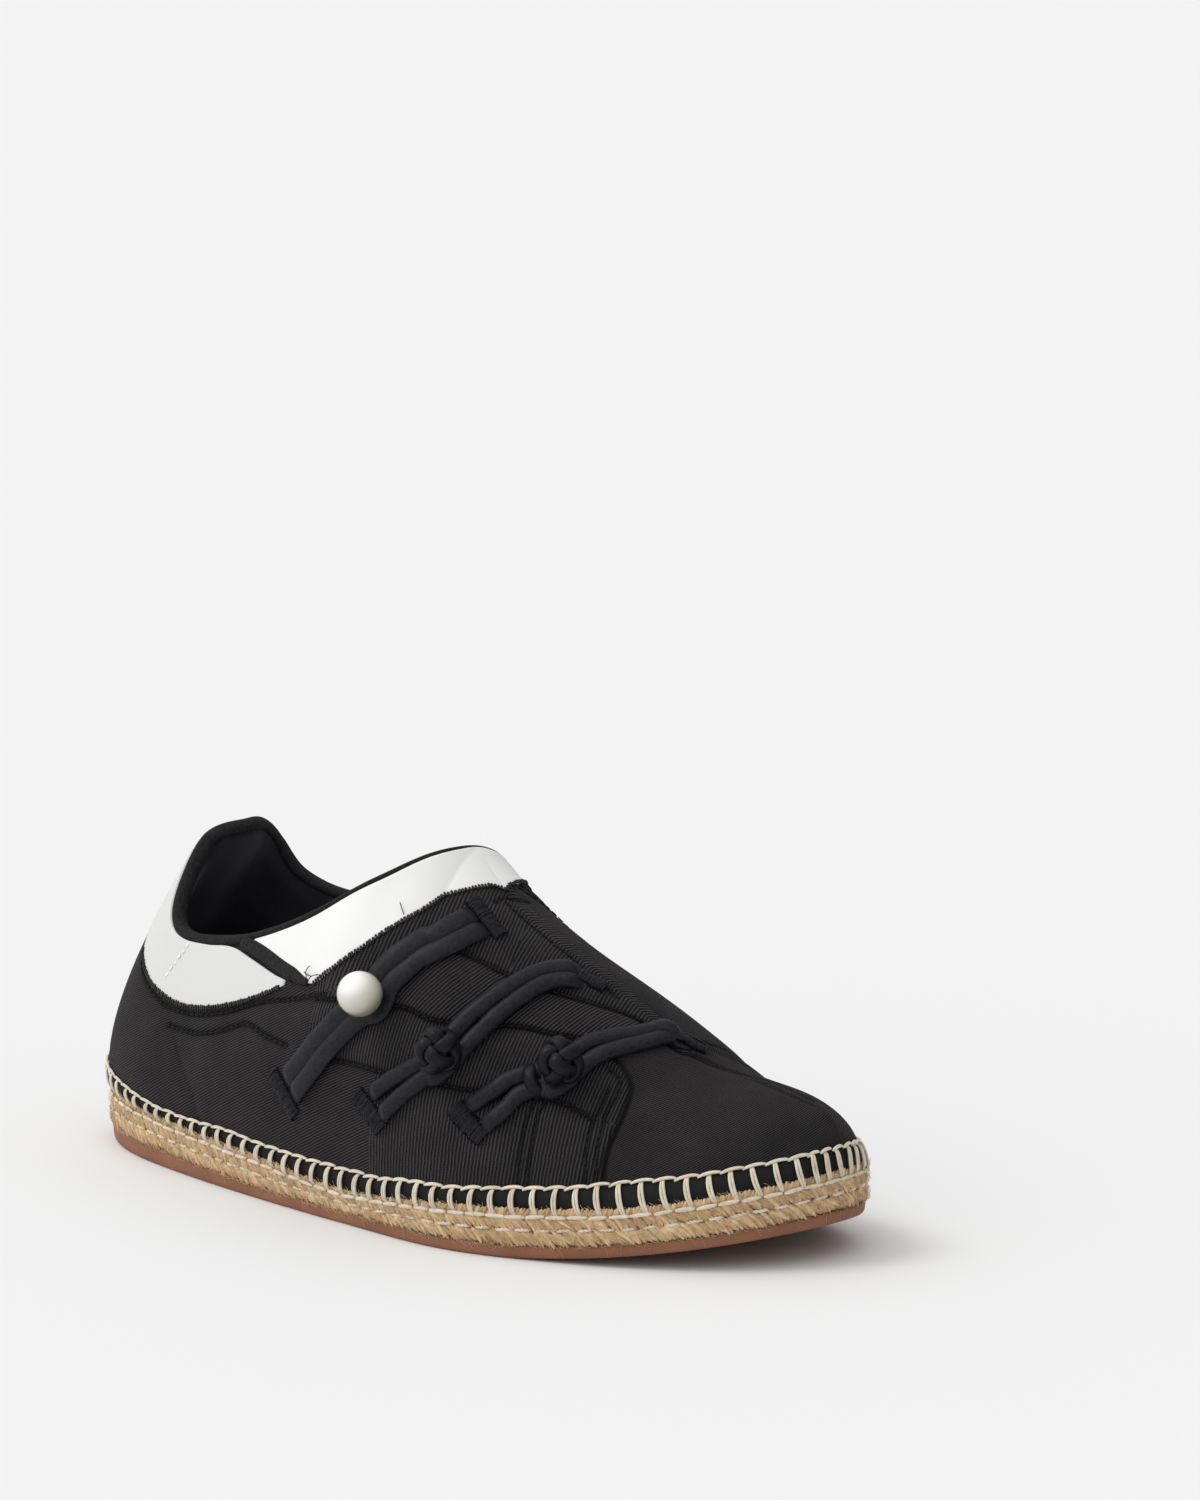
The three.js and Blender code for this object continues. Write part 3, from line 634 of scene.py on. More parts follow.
def tube(name, points, out, width, height, sides=14, closed=False):
    """A tube along points, width across and height along out. It carries a UV map of turn and run."""
    points, out = np.asarray(points), np.asarray(out)
    count = len(points)
    if closed:
        along = unit(np.roll(points, -1, 0) - np.roll(points, 1, 0))
    else:
        along = unit(np.gradient(points, axis=0))
    side = unit(np.cross(along, out))
    up = unit(np.cross(side, along))
    turn = np.linspace(0, 2 * np.pi, sides, endpoint=False)
    width = np.broadcast_to(width, count)[:, None, None]
    height = np.broadcast_to(height, count)[:, None, None]
    across = side[:, None] * np.cos(turn)[None, :, None] * width / 2
    rise = up[:, None] * np.sin(turn)[None, :, None] * height / 2
    rings = (points[:, None] + across + rise).reshape(-1, 3)
    ends = points if closed else points[[0, -1]]
    vertices = rings if closed else np.concatenate([rings, ends])
    run = np.concatenate([[0], np.cumsum(np.linalg.norm(np.diff(points, axis=0), axis=1))])
    if closed:
        run = np.append(run, run[-1] + np.linalg.norm(points[0] - points[-1]))
    faces, uv = [], []
    total = count if closed else count - 1
    for i in range(total):
        j = (i + 1) % count
        for k in range(sides):
            n = (k + 1) % sides
            faces.append((i * sides + n, i * sides + k, j * sides + k, j * sides + n))
            near, far = k / sides, (k + 1) / sides
            uv += [(far, run[i]), (near, run[i]), (near, run[i + 1]), (far, run[i + 1])]
    if not closed:
        low, high = len(rings), len(rings) + 1
        last = (count - 1) * sides
        for k in range(sides):
            n = (k + 1) % sides
            faces.append((low, k, n))
            uv += [(0.5, 0), (k / sides, 0), (n / sides, 0)]
            faces.append((high, last + n, last + k))
            uv += [(0.5, run[-1]), (n / sides, run[-1]), (k / sides, run[-1])]
    return new_mesh(name, vertices, faces, uv)


def resampled(points, step):
    """A smooth curve through points, at even distances of about step."""
    points = np.asarray(points, float)
    chord = np.concatenate([[0], np.cumsum(np.sqrt(np.linalg.norm(np.diff(points, axis=0), axis=1)))])
    dense_at = np.linspace(0, chord[-1], 40 * len(points))
    dense = np.stack([through(np.stack([chord, column], 1), dense_at) for column in points.T], 1)
    run = np.concatenate([[0], np.cumsum(np.linalg.norm(np.diff(dense[:, :3], axis=0), axis=1))])
    at = np.linspace(0, run[-1], max(2, int(round(run[-1] / step)) + 1))
    return np.stack([np.interp(at, run, column) for column in dense.T], 1)


# Materials


class Finish:
    """A material under construction, with short names for its nodes."""

    def __init__(self, name, colour, roughness, shine=0.5):
        self.material = bpy.data.materials.new(name)
        self.material.use_nodes = True
        self.tree = self.material.node_tree
        self.shader = self.tree.nodes["Principled BSDF"]
        self.shader.inputs["Base Color"].default_value = (*colour, 1)
        self.shader.inputs["Roughness"].default_value = roughness
        self.shader.inputs["Specular IOR Level"].default_value = shine

    def node(self, kind, **settings):
        made = self.tree.nodes.new(kind)
        for key, value in settings.items():
            setattr(made, key, value)
        return made

    def join(self, source, target):
        self.tree.links.new(source, target)

    def maths(self, operation, *values):
        made = self.node("ShaderNodeMath", operation=operation)
        for k, value in enumerate(values):
            if isinstance(value, (int, float)):
                made.inputs[k].default_value = value
            else:
                self.join(value, made.inputs[k])
        return made.outputs[0]

    def noise(self, vector, scale, detail=2.0, roughness=0.5):
        made = self.node("ShaderNodeTexNoise")
        made.inputs["Scale"].default_value = scale
        made.inputs["Detail"].default_value = detail
        made.inputs["Roughness"].default_value = roughness
        self.join(vector, made.inputs["Vector"])
        return made.outputs["Fac"]

    def place(self):
        return self.node("ShaderNodeTexCoord").outputs["Object"]

    def surface(self):
        return self.node("ShaderNodeUVMap", uv_map="surface").outputs["UV"]

    def tone(self):
        """The random number from -1 to 1 that each repeated copy carries."""
        return self.node("ShaderNodeAttribute", attribute_name="tone").outputs["Fac"]

    def split(self, vector):
        made = self.node("ShaderNodeSeparateXYZ")
        self.join(vector, made.inputs["Vector"])
        return made.outputs["X"], made.outputs["Y"]

    def scaled(self, vector, x, y, z=1.0):
        made = self.node("ShaderNodeMapping")
        made.inputs["Scale"].default_value = (x, y, z)
        self.join(vector, made.inputs["Vector"])
        return made.outputs["Vector"]

    def ramp(self, value, stops):
        made = self.node("ShaderNodeValToRGB")
        ramp = made.color_ramp
        for k, (at, colour) in enumerate(stops):
            point = ramp.elements[k] if k < 2 else ramp.elements.new(at)
            point.position = at
            point.color = (*colour, 1)
        self.join(value, made.inputs["Fac"])
        return made.outputs["Color"]

    def paint(self, colour):
        self.join(colour, self.shader.inputs["Base Color"])

    def nap(self, weight, colour, roughness=0.5):
        """A soft bloom of fine fibres at a grazing view."""
        self.shader.inputs["Sheen Weight"].default_value = weight
        self.shader.inputs["Sheen Tint"].default_value = (*colour, 1)
        self.shader.inputs["Sheen Roughness"].default_value = roughness

    def bump(self, height, distance, strength=1.0):
        made = self.node("ShaderNodeBump")
        made.inputs["Distance"].default_value = distance
        made.inputs["Strength"].default_value = strength
        self.join(height, made.inputs["Height"])
        self.join(made.outputs["Normal"], self.shader.inputs["Normal"])


def ribbed_knit():
    """Fine ribs across the first UV axis, with the knit's loops along the second."""
    finish = Finish("ribbed knit", (0.014, 0.0125, 0.0135), 0.85, 0.12)
    across, down = finish.split(finish.surface())
    where = finish.place()
    wander = finish.maths("MULTIPLY", finish.maths("SUBTRACT", finish.noise(where, 260.0), 0.5), 0.55)
    across = finish.maths("ADD", across, wander)
    rib = finish.maths("SINE", finish.maths("MULTIPLY", across, 2 * math.pi))
    rib = finish.maths("ADD", finish.maths("MULTIPLY", rib, 0.5), 0.5)
    loop = finish.maths("SINE", finish.maths("MULTIPLY", down, 2 * math.pi * 1.6))
    grain = finish.noise(where, 1500.0, 3.0)
    height = finish.maths("ADD", finish.maths("MULTIPLY", rib, 0.75), finish.maths("MULTIPLY", loop, 0.07))
    height = finish.maths("ADD", height, finish.maths("MULTIPLY", grain, 0.25))
    cloud = finish.maths("MULTIPLY", finish.maths("SUBTRACT", finish.noise(where, 60.0, 3.0), 0.5), 0.5)
    # Painted shade: seam is the share of shade in each pressed-in seam's recess, stored by upper_side, and it
    # darkens the knit's colour there.
    seam = finish.node("ShaderNodeAttribute", attribute_name="seam").outputs["Fac"]
    # The colour ramp on height paints shade into the rib grooves and a painted highlight on the rib crests;
    # cloud adds tone that differs at random.
    finish.paint(
        finish.ramp(
            finish.maths("SUBTRACT", finish.maths("ADD", height, cloud), finish.maths("MULTIPLY", seam, 0.8)),
            [(0.1, (0.0050, 0.0045, 0.0048)), (0.6, (0.0225, 0.0205, 0.0215)), (1.0, (0.060, 0.055, 0.057))],
        )
    )
    finish.nap(0.08, (0.5, 0.48, 0.5))
    finish.bump(height, 0.5 * MM, 1.0)
    return finish.material


def velvet_lining():
    finish = Finish("velvet lining", (0.008, 0.0082, 0.011), 1.0, 0.1)
    grain = finish.noise(finish.place(), 1800.0, 3.0)
    cloud = finish.noise(finish.place(), 90.0, 2.0)
    finish.paint(finish.ramp(cloud, [(0.3, (0.012, 0.012, 0.015)), (0.7, (0.027, 0.0272, 0.034))]))
    finish.nap(0.35, (0.42, 0.42, 0.48), 0.5)
    finish.bump(grain, 0.15 * MM, 0.5)
    return finish.material


def smooth_white(name, tone):
    finish = Finish(name, (tone, tone, 0.98 * tone), 0.5, 0.3)
    where = finish.place()
    height = finish.maths("ADD", finish.noise(where, 500.0, 4.0), finish.noise(where, 60.0, 2.0))
    finish.bump(height, 0.06 * MM, 0.35)
    return finish.material


def charcoal_tape():
    finish = Finish("charcoal tape", (0.016, 0.015, 0.016), 0.9, 0.2)
    grain = finish.noise(finish.place(), 1100.0, 3.0)
    finish.paint(finish.ramp(grain, [(0.3, (0.009, 0.0085, 0.009)), (0.7, (0.024, 0.023, 0.024))]))
    finish.bump(grain, 0.2 * MM, 0.7)
    return finish.material


# The satin's threads: their pitch along the cord, and the slant that they gain in one turn, in radians.
SATIN_PITCH = 0.5 * MM
SATIN_SLANT = 12.566


def black_satin(name, light):
    """Satin thread: fine lines across the cord's run."""
    finish = Finish(name, (0.004, 0.004, 0.005), 0.4, 0.16)
    turn, run = finish.split(finish.surface())
    along = finish.maths("MULTIPLY", run, 2 * math.pi / SATIN_PITCH)
    slant = finish.maths("ADD", along, finish.maths("MULTIPLY", turn, SATIN_SLANT))
    thread = finish.maths("ADD", finish.maths("MULTIPLY", finish.maths("SINE", slant), 0.5), 0.5)
    grain = finish.noise(finish.place(), 900.0, 3.0)
    height = finish.maths("ADD", finish.maths("MULTIPLY", thread, 0.35), finish.maths("MULTIPLY", grain, 0.9))
    finish.paint(finish.ramp(height, [(0.3, (0.0022, 0.0022, 0.0027)), (0.8, (light, light, 1.22 * light))]))
    finish.nap(0.01, (0.55, 0.56, 0.66), 0.3)
    finish.bump(height, 0.12 * MM, 0.6)
    return finish.material


def black_canvas(name, colour=0.007):
    """Plain black fabric, for the rand and the sewing thread."""
    finish = Finish(name, (colour, colour, colour * 1.05), 0.8, 0.3)
    finish.bump(finish.noise(finish.place(), 1300.0, 3.0), 0.3 * MM, 0.8)
    return finish.material


def fibre_finish(name, dark, light, streaks=26.0, roughness=0.85, spread_by=0.28):
    """Plant fibre or thread: fine streaks along each strand, and each strand in a tone of its own."""
    finish = Finish(name, light, roughness, 0.25)
    grain = finish.noise(finish.scaled(finish.surface(), streaks, 1.6), 1.0, 3.0, 0.6)
    patch = finish.noise(finish.place(), 420.0, 3.0)
    value = finish.maths("ADD", finish.maths("MULTIPLY", grain, 0.8), finish.maths("MULTIPLY", patch, 0.4))
    value = finish.maths("ADD", value, finish.maths("MULTIPLY", finish.tone(), spread_by / 2))
    finish.paint(finish.ramp(value, [(0.3, dark), (0.85, light)]))
    finish.bump(value, 0.35 * MM, 0.8)
    return finish.material


def brown_rubber():
    finish = Finish("brown rubber", (0.20, 0.082, 0.052), 0.62, 0.35)
    where = finish.place()
    grain = finish.noise(where, 900.0, 3.0)
    cloud = finish.noise(where, 70.0, 3.0)
    finish.paint(finish.ramp(cloud, [(0.3, (0.225, 0.093, 0.049)), (0.7, (0.29, 0.123, 0.066))]))
    finish.bump(grain, 0.08 * MM, 0.5)
    return finish.material


def ivory_pearl():
    """Ivory with painted shading: painted light and a painted highlight where it faces out and up, and
    painted shade, darker and warmer, round its foot.
    """
    finish = Finish("ivory pearl", (0.62, 0.59, 0.51), 0.2, 0.6)
    frog = FROGS[0]
    out = normal(*frog["button"])
    centre = place(*frog["button"], relief(*frog["button"])) + out * button_lift(frog)
    # way points out and up: the ramp along it paints light and a highlight on top and paints shade round the
    # foot.
    way = unit(out + np.array([0.0, 0.0, 0.55]))
    along = finish.node("ShaderNodeVectorMath", operation="DOT_PRODUCT")
    finish.join(finish.place(), along.inputs[0])
    along.inputs[1].default_value = tuple(way)
    share = finish.maths("SUBTRACT", along.outputs["Value"], float(centre @ way) - PEARL_DIAMETER / 2)
    share = finish.maths("DIVIDE", share, PEARL_DIAMETER)
    painted_light_tones = [
        (0.4, (0.33, 0.30, 0.24)),
        (0.62, (0.58, 0.55, 0.47)),
        (0.84, (0.72, 0.70, 0.64)),
        (0.98, (0.97, 0.97, 0.95)),
    ]
    finish.paint(finish.ramp(share, painted_light_tones))
    finish.shader.inputs["Subsurface Weight"].default_value = 0.25
    finish.shader.inputs["Subsurface Radius"].default_value = (2.0, 1.4, 1.0)
    finish.shader.inputs["Subsurface Scale"].default_value = 1.0 * MM
    finish.shader.inputs["Coat Weight"].default_value = 0.5
    finish.shader.inputs["Coat Roughness"].default_value = 0.1
    return finish.material


# Seams on the upper as lines of (v, t). t past 1 is over the ridge; v past 1 is the inner side.
FLAP_STRIP_SEAM = [
    (0.54, 0.575),
    (0.578, 0.628),
    (0.602, 0.653),
    (0.636, 0.682),
    (0.676, 0.728),
    (0.706, 0.778),
    (0.744, 0.866),
    (0.786, 0.915),
    (0.8, 1),
    (0.806, 1.05),
    (0.83, 1.08),
    (0.87, 1.16),
]
QUARTER_SEAM = [
    (0.484, 0.339),
    (0.506, 0.305),
    (0.542, 0.272),
    (0.574, 0.297),
    (0.604, 0.331),
    (0.62, 0.351),
    (0.65, 0.385),
    (0.676, 0.414),
]
QUARTER_BRANCH = [(0.676, 0.414), (0.694, 0.41), (0.714, 0.393)]
QUARTER_ROWS = [
    [(0.668, 0.1), (0.668, 0.268), (0.67, 0.368), (0.676, 0.41)],
    [(0.66, 0.1), (0.66, 0.26), (0.662, 0.35), (0.666, 0.395)],
]
TOE_ROWS = [
    [(0.724, 0.13), (0.722, 0.335), (0.726, 0.418), (0.734, 0.51), (0.733, 0.56), (0.724, 0.57)],
    [(0.715, 0.13), (0.713, 0.33), (0.718, 0.41), (0.725, 0.5)],
]
THROAT_ROW = [(0.592, 0.874), (0.598, 0.96), (0.602, 1.004), (0.602, 1.06), (0.6, 1.113)]
RIDGE_ROW = [(0.602, 0.925), (0.612, 0.929), (0.638, 0.933), (0.668, 0.929), (0.692, 0.9), (0.718, 0.9)]
COLLAR_ROW = [
    (0.12, 0.66),
    (0.18, 0.672),
    (0.206, 0.665),
    (0.26, 0.615),
    (0.312, 0.603),
    (0.352, 0.623),
    (0.398, 0.657),
    (0.444, 0.615),
    (0.47, 0.573),
]
QUILT_ROW = [
    (0.272, 0.52),
    (0.32, 0.506),
    (0.356, 0.531),
    (0.382, 0.561),
    (0.408, 0.506),
    (0.436, 0.439),
]
HEEL_SEAM = [(0.278, 0.515), (0.304, 0.356), (0.328, 0.18), (0.336, 0.06)]
INNER_ROWS = [
    [(1.425, 0.86), (1.41, 0.66), (1.385, 0.48), (1.355, 0.3), (1.345, 0.12)],
    [(1.417, 0.86), (1.402, 0.66), (1.377, 0.48), (1.347, 0.3), (1.337, 0.12)],
    [(1.44, 0.74), (1.48, 0.62), (1.52, 0.59), (1.6, 0.585), (1.66, 0.59), (1.75, 0.62)],
]
TOE_TOP_SEAM = [(1.2, 0.93), (1.16, 0.87), (1.11, 0.8), (1.06, 0.74)]


def seam_points(line, step=0.4 * MM):
    """Even points of (v, t) along a seam's line, and the same points on the surface."""
    line = np.array(line, float)
    spots = place(line[:, 0], line[:, 1])
    path = resampled(np.concatenate([spots, line], 1), step)
    return path[:, 3:], path[:, :3]


def flap_edge_line():
    station = np.linspace(0.46, 0.7, 40)
    return np.stack([station, through(FLAP_EDGE, station)], 1)


def toe_edge_line(column):
    t = np.linspace(0.06, 0.62 if column == 1 else 0.97, 40)
    station = through(TOE_EDGE, t, column)
    return np.stack([station if column == 1 else 2 - station, t], 1)


# Each groove: its line, depth and half width, both in millimetres.
GROOVES = [
    (flap_edge_line(), 0.9, 0.75),
    (toe_edge_line(1), 0.9, 0.75),
    (toe_edge_line(2), 0.9, 0.75),
    (FLAP_STRIP_SEAM, 0.9, 0.75),
    (QUARTER_SEAM, 0.9, 0.75),
    (QUARTER_BRANCH, 0.8, 0.7),
    (COLLAR_ROW, 0.8, 0.7),
    (QUILT_ROW, 0.9, 0.8),
    (HEEL_SEAM, 0.25, 0.5),
    (THROAT_ROW, 0.5, 0.7),
    (RIDGE_ROW, 0.3, 0.6),
    (TOE_TOP_SEAM, 0.8, 0.7),
]
GROOVES += [(line, 0.5, 0.6) for line in QUARTER_ROWS + TOE_ROWS + INNER_ROWS]


# How far the knit swells between the seams, and how far from a seam it takes to do so.
SWELL = 0.55 * MM
SWELL_REACH = 3.4 * MM


class SeamGrooves:
    """How far each seam pulls the knit in, how the knit swells between the seams, and the share of painted
    shade in each seam's recess.
    """

    def __init__(self):
        found = [(seam_points(line)[1], depth, width) for line, depth, width in GROOVES]
        total = sum(len(points) for points, _, _ in found)
        self.tree = KDTree(total)
        self.depth, self.width = [], []
        for points, depth, width in found:
            for point in points:
                self.tree.insert(point, len(self.depth))
                self.depth.append(depth * MM)
                self.width.append(width * MM)
        self.tree.balance()

    def offset(self, points):
        result, near = np.empty(len(points)), np.empty(len(points))
        for k, point in enumerate(points):
            _, index, distance = self.tree.find(point)
            pull = math.exp(-((distance / self.width[index]) ** 2))
            # near is the share of painted shade in the seam's recess, which the knit's colour uses.
            near[k] = pull * min(1, self.depth[index] / MM)
            swell = SWELL * (1 - math.exp(-((distance / SWELL_REACH) ** 2)))
            result[k] = swell - self.depth[index] * pull
        return result, near


# Knit zones: a place in the middle, the ribs' angle to the row there in degrees, and the ribs' pitch.
KNIT_ZONES = {
    "heel": (0.3, 0.35, 27, 0.85 * MM),
    "toe": (0.8, 0.45, 22, 0.7 * MM),
    "strip": (0.67, 0.86, 108, 1.12 * MM),
    "flap_top": (0.585, 0.8, 119, 1.1 * MM),
    "flap_low": (0.62, 0.55, 79, 1.06 * MM),
    "middle": (0.58, 0.38, 112, 1.08 * MM),
    "front": (0.67, 0.25, 98, 1.13 * MM),
    "inner": (1.4, 0.5, 82, 1.1 * MM),
}


def knit_zone(v, t):
    """The knit zone of each place on the upper, as a number in KNIT_ZONES' order."""
    names = list(KNIT_ZONES)
    station = station_of(v)
    outer = wrapped(v) <= 1
    strip_edge = through([row for row in FLAP_STRIP_SEAM if row[1] <= 1], station)
    on_flap = outer & (t > through(FLAP_EDGE, station)) & (station > 0.47) & (station < 0.79)
    toe_edge = np.where(outer, through(TOE_EDGE, t, 1), through(TOE_EDGE, t, 2))
    on_toe = (station > toe_edge) & ~on_flap
    quarter_seam = through(QUARTER_SEAM + [(0.74, 0.39)], station)
    zone = np.full(v.shape, names.index("heel"))
    zone[outer & (station > 0.53)] = names.index("front")
    zone[outer & (station > 0.46) & (t > quarter_seam)] = names.index("middle")
    zone[on_flap] = names.index("flap_low")
    zone[on_flap & (t > strip_edge)] = names.index("strip")
    zone[on_flap & (t > strip_edge) & (station < 0.625)] = names.index("flap_top")
    zone[~outer & (station > 0.34)] = names.index("inner")
    zone[on_toe] = names.index("toe")
    return zone


def rib_map(v, rows, faces_v, faces_t, corner_columns, corner_rows):
    """UV of each face corner in ribs across and along, from the zone that its face lies in."""
    grid_v = np.repeat(v[:, None], rows.shape[1], 1)
    spots = surface(grid_v, rows)
    along = np.zeros(rows.shape)
    along[1:] = np.cumsum(np.linalg.norm(np.diff(spots, axis=0), axis=2), 0)
    rise = np.zeros(rows.shape)
    rise[:, 1:] = np.cumsum(np.linalg.norm(np.diff(spots, axis=1), axis=2), 1)
    zone = knit_zone(faces_v, faces_t)
    uv = np.zeros(corner_columns.shape + (2,))
    for index, (name, (zv, zt, angle, pitch)) in enumerate(KNIT_ZONES.items()):
        turn = math.radians(angle)
        picked = zone == index
        columns, steps = corner_columns[picked], corner_rows[picked]
        if name in ("heel", "toe", "inner"):
            start = int(np.argmin(np.abs(v - zv)))
            s = along[columns, steps] - along[start, steps]
            h = rise[columns, steps]
            across = h * math.cos(turn) - s * math.sin(turn)
            down = s * math.cos(turn) + h * math.sin(turn)
        else:
            step = surface(zv + 0.001, zt) - surface(zv - 0.001, zt)
            row_way = unit(step)
            out = side_normal(zv, zt)
            climb = np.cross(out, row_way)
            rib_way = row_way * math.cos(turn) + climb * math.sin(turn)
            across_way = np.cross(out, rib_way)
            across = spots[columns, steps] @ across_way
            down = spots[columns, steps] @ rib_way
        uv[picked, :, 0] = across / pitch
        uv[picked, :, 1] = down / pitch
    return uv


# The outer knit runs on past the ridge by this share of the wall, so that the join shows no edge.
RIDGE_LAP = 0.09
# How far the knit is held in below the smooth panels.
PANEL_HOLD = 0.75 * MM


def under_panels(v, t):
    """1 well inside the smooth panels, where the knit below them is held in, and 0 outside."""
    turn = (v + 1) % 2 - 1
    station = station_of(v)
    heel = smooth(0.015, 0.04, t - through(HEEL_PANEL, turn, 1))
    heel = heel * smooth(-0.325, -0.3, turn) * smooth(0.43, 0.4, turn)
    edge = np.where(turn >= 0, through(FRONT_BAND, station, 1), through(FRONT_BAND, station, 2))
    band = smooth(0.015, 0.04, t - edge)
    band = band * smooth(0.36, 0.39, station) * smooth(BAND_TIP, BAND_TIP - 0.02, station)
    return np.maximum(heel, band)


def upper_side(name, v, row_count, back_rows, over, grooves, material):
    """One side of the knit upper as a closed skin with its seams pressed in and a UV map of its ribs."""
    edge = np.clip(through(FLAP_EDGE, station_of(v)), 0, 0.93)
    top = 1 + over * smooth(THROAT, THROAT + 0.03, station_of(v))
    low, high = row_count
    ramp = 0.012
    rows = np.concatenate(
        [
            spread(np.zeros_like(edge), edge - ramp, low)[:, :-1],
            spread(edge - ramp, edge + ramp, 6)[:, :-1],
            spread(edge + ramp, top, high),
        ],
        1,
    )
    columns, n = rows.shape
    grid_v = np.repeat(v[:, None], n, 1)
    flat = place(grid_v, rows).reshape(-1, 3)
    press, near = grooves.offset(flat)
    press = press.reshape(rows.shape)
    press *= 1 - smooth(0.93, 1, rows) * smooth(0.62, 0.5, station_of(grid_v))
    height = relief(grid_v, rows) + press - PANEL_HOLD * under_panels(grid_v, rows)
    out = place(grid_v, rows, height).reshape(-1, 3)
    back_t = spread(np.zeros_like(edge), top, back_rows)
    back_v = np.repeat(v[:, None], back_rows + 1, 1)
    within = place(back_v, back_t, -WALL / 2).reshape(-1, 3)
    base, m = len(out), back_rows + 1
    front = grid_faces(columns, n)
    middle_v = (v[:-1] + v[1:])[:, None].repeat(n - 1, 1).ravel() / 2
    middle_t = ((rows[:-1, :-1] + rows[1:, 1:]) / 2).ravel()
    corner_columns, corner_rows = front // n, front % n
    uv = rib_map(v, rows, middle_v, middle_t, corner_columns, corner_rows)
    back = grid_faces(columns, m, False, base)[:, ::-1]
    i = np.arange(columns - 1)
    foot = np.stack([base + i * m, base + (i + 1) * m, (i + 1) * n, i * n], -1)
    top = np.stack([i * n + n - 1, (i + 1) * n + n - 1, base + (i + 1) * m + m - 1, base + i * m + m - 1], -1)
    faces = [tuple(face) for part in (front, back, foot, top) for face in part]
    faces.append((*range(base, base + m), *reversed(range(n))))
    last_out, last_in = (columns - 1) * n, base + (columns - 1) * m
    faces.append((*range(last_out, last_out + n), *reversed(range(last_in, last_in + m))))
    flat_uv = np.concatenate([uv.reshape(-1, 2), np.zeros((sum(len(f) for f in faces) - 4 * len(front), 2))])
    obj = new_mesh(name, np.concatenate([out, within]), faces, flat_uv)
    # The seam attribute holds the share of painted shade in the seams' recesses, for the knit's colour.
    seam = obj.data.attributes.new("seam", "FLOAT", "POINT")
    seam.data.foreach_set("value", np.concatenate([near, np.zeros(len(within))]).astype(np.float32))
    rims = len(faces) - len(front) - len(back)
    obj.data.polygons.foreach_set("use_smooth", [True] * (len(faces) - rims) + [False] * rims)
    return finish_piece(obj, material, "knit", "upper")


def make_upper(material):
    grooves = SeamGrooves()
    stations = np.concatenate(
        [
            np.linspace(0, 0.45, 120)[:-1],
            np.linspace(0.45, 0.77, 250)[:-1],
            np.linspace(0.77, 1, 110),
        ]
    )
    upper_side("upper_knit_outer", stations, (56, 56), 8, RIDGE_LAP, grooves, material)
    upper_side("upper_knit_inner", 2 - stations[::-1], (34, 34), 8, -RIDGE_LAP, grooves, material)


# Repeats along a path, made with Geometry Nodes


def guide(name, points, out, tall, closed=False):
    """A path of edges that carries the way out of the surface and the height of what stands on it."""
    count = len(points)
    edges = [(k, (k + 1) % count) for k in range(count if closed else count - 1)]
    mesh = bpy.data.meshes.new(name)
    mesh.from_pydata([tuple(p) for p in points], edges, [])
    ways = mesh.attributes.new("out", "FLOAT_VECTOR", "POINT")
    ways.data.foreach_set("vector", np.asarray(out, np.float32).ravel())
    tall = np.broadcast_to(np.asarray(tall, np.float32), count)
    heights = mesh.attributes.new("tall", "FLOAT", "POINT")
    heights.data.foreach_set("value", np.ascontiguousarray(tall))
    obj = bpy.data.objects.new(name, mesh)
    bpy.context.scene.collection.objects.link(obj)
    return obj


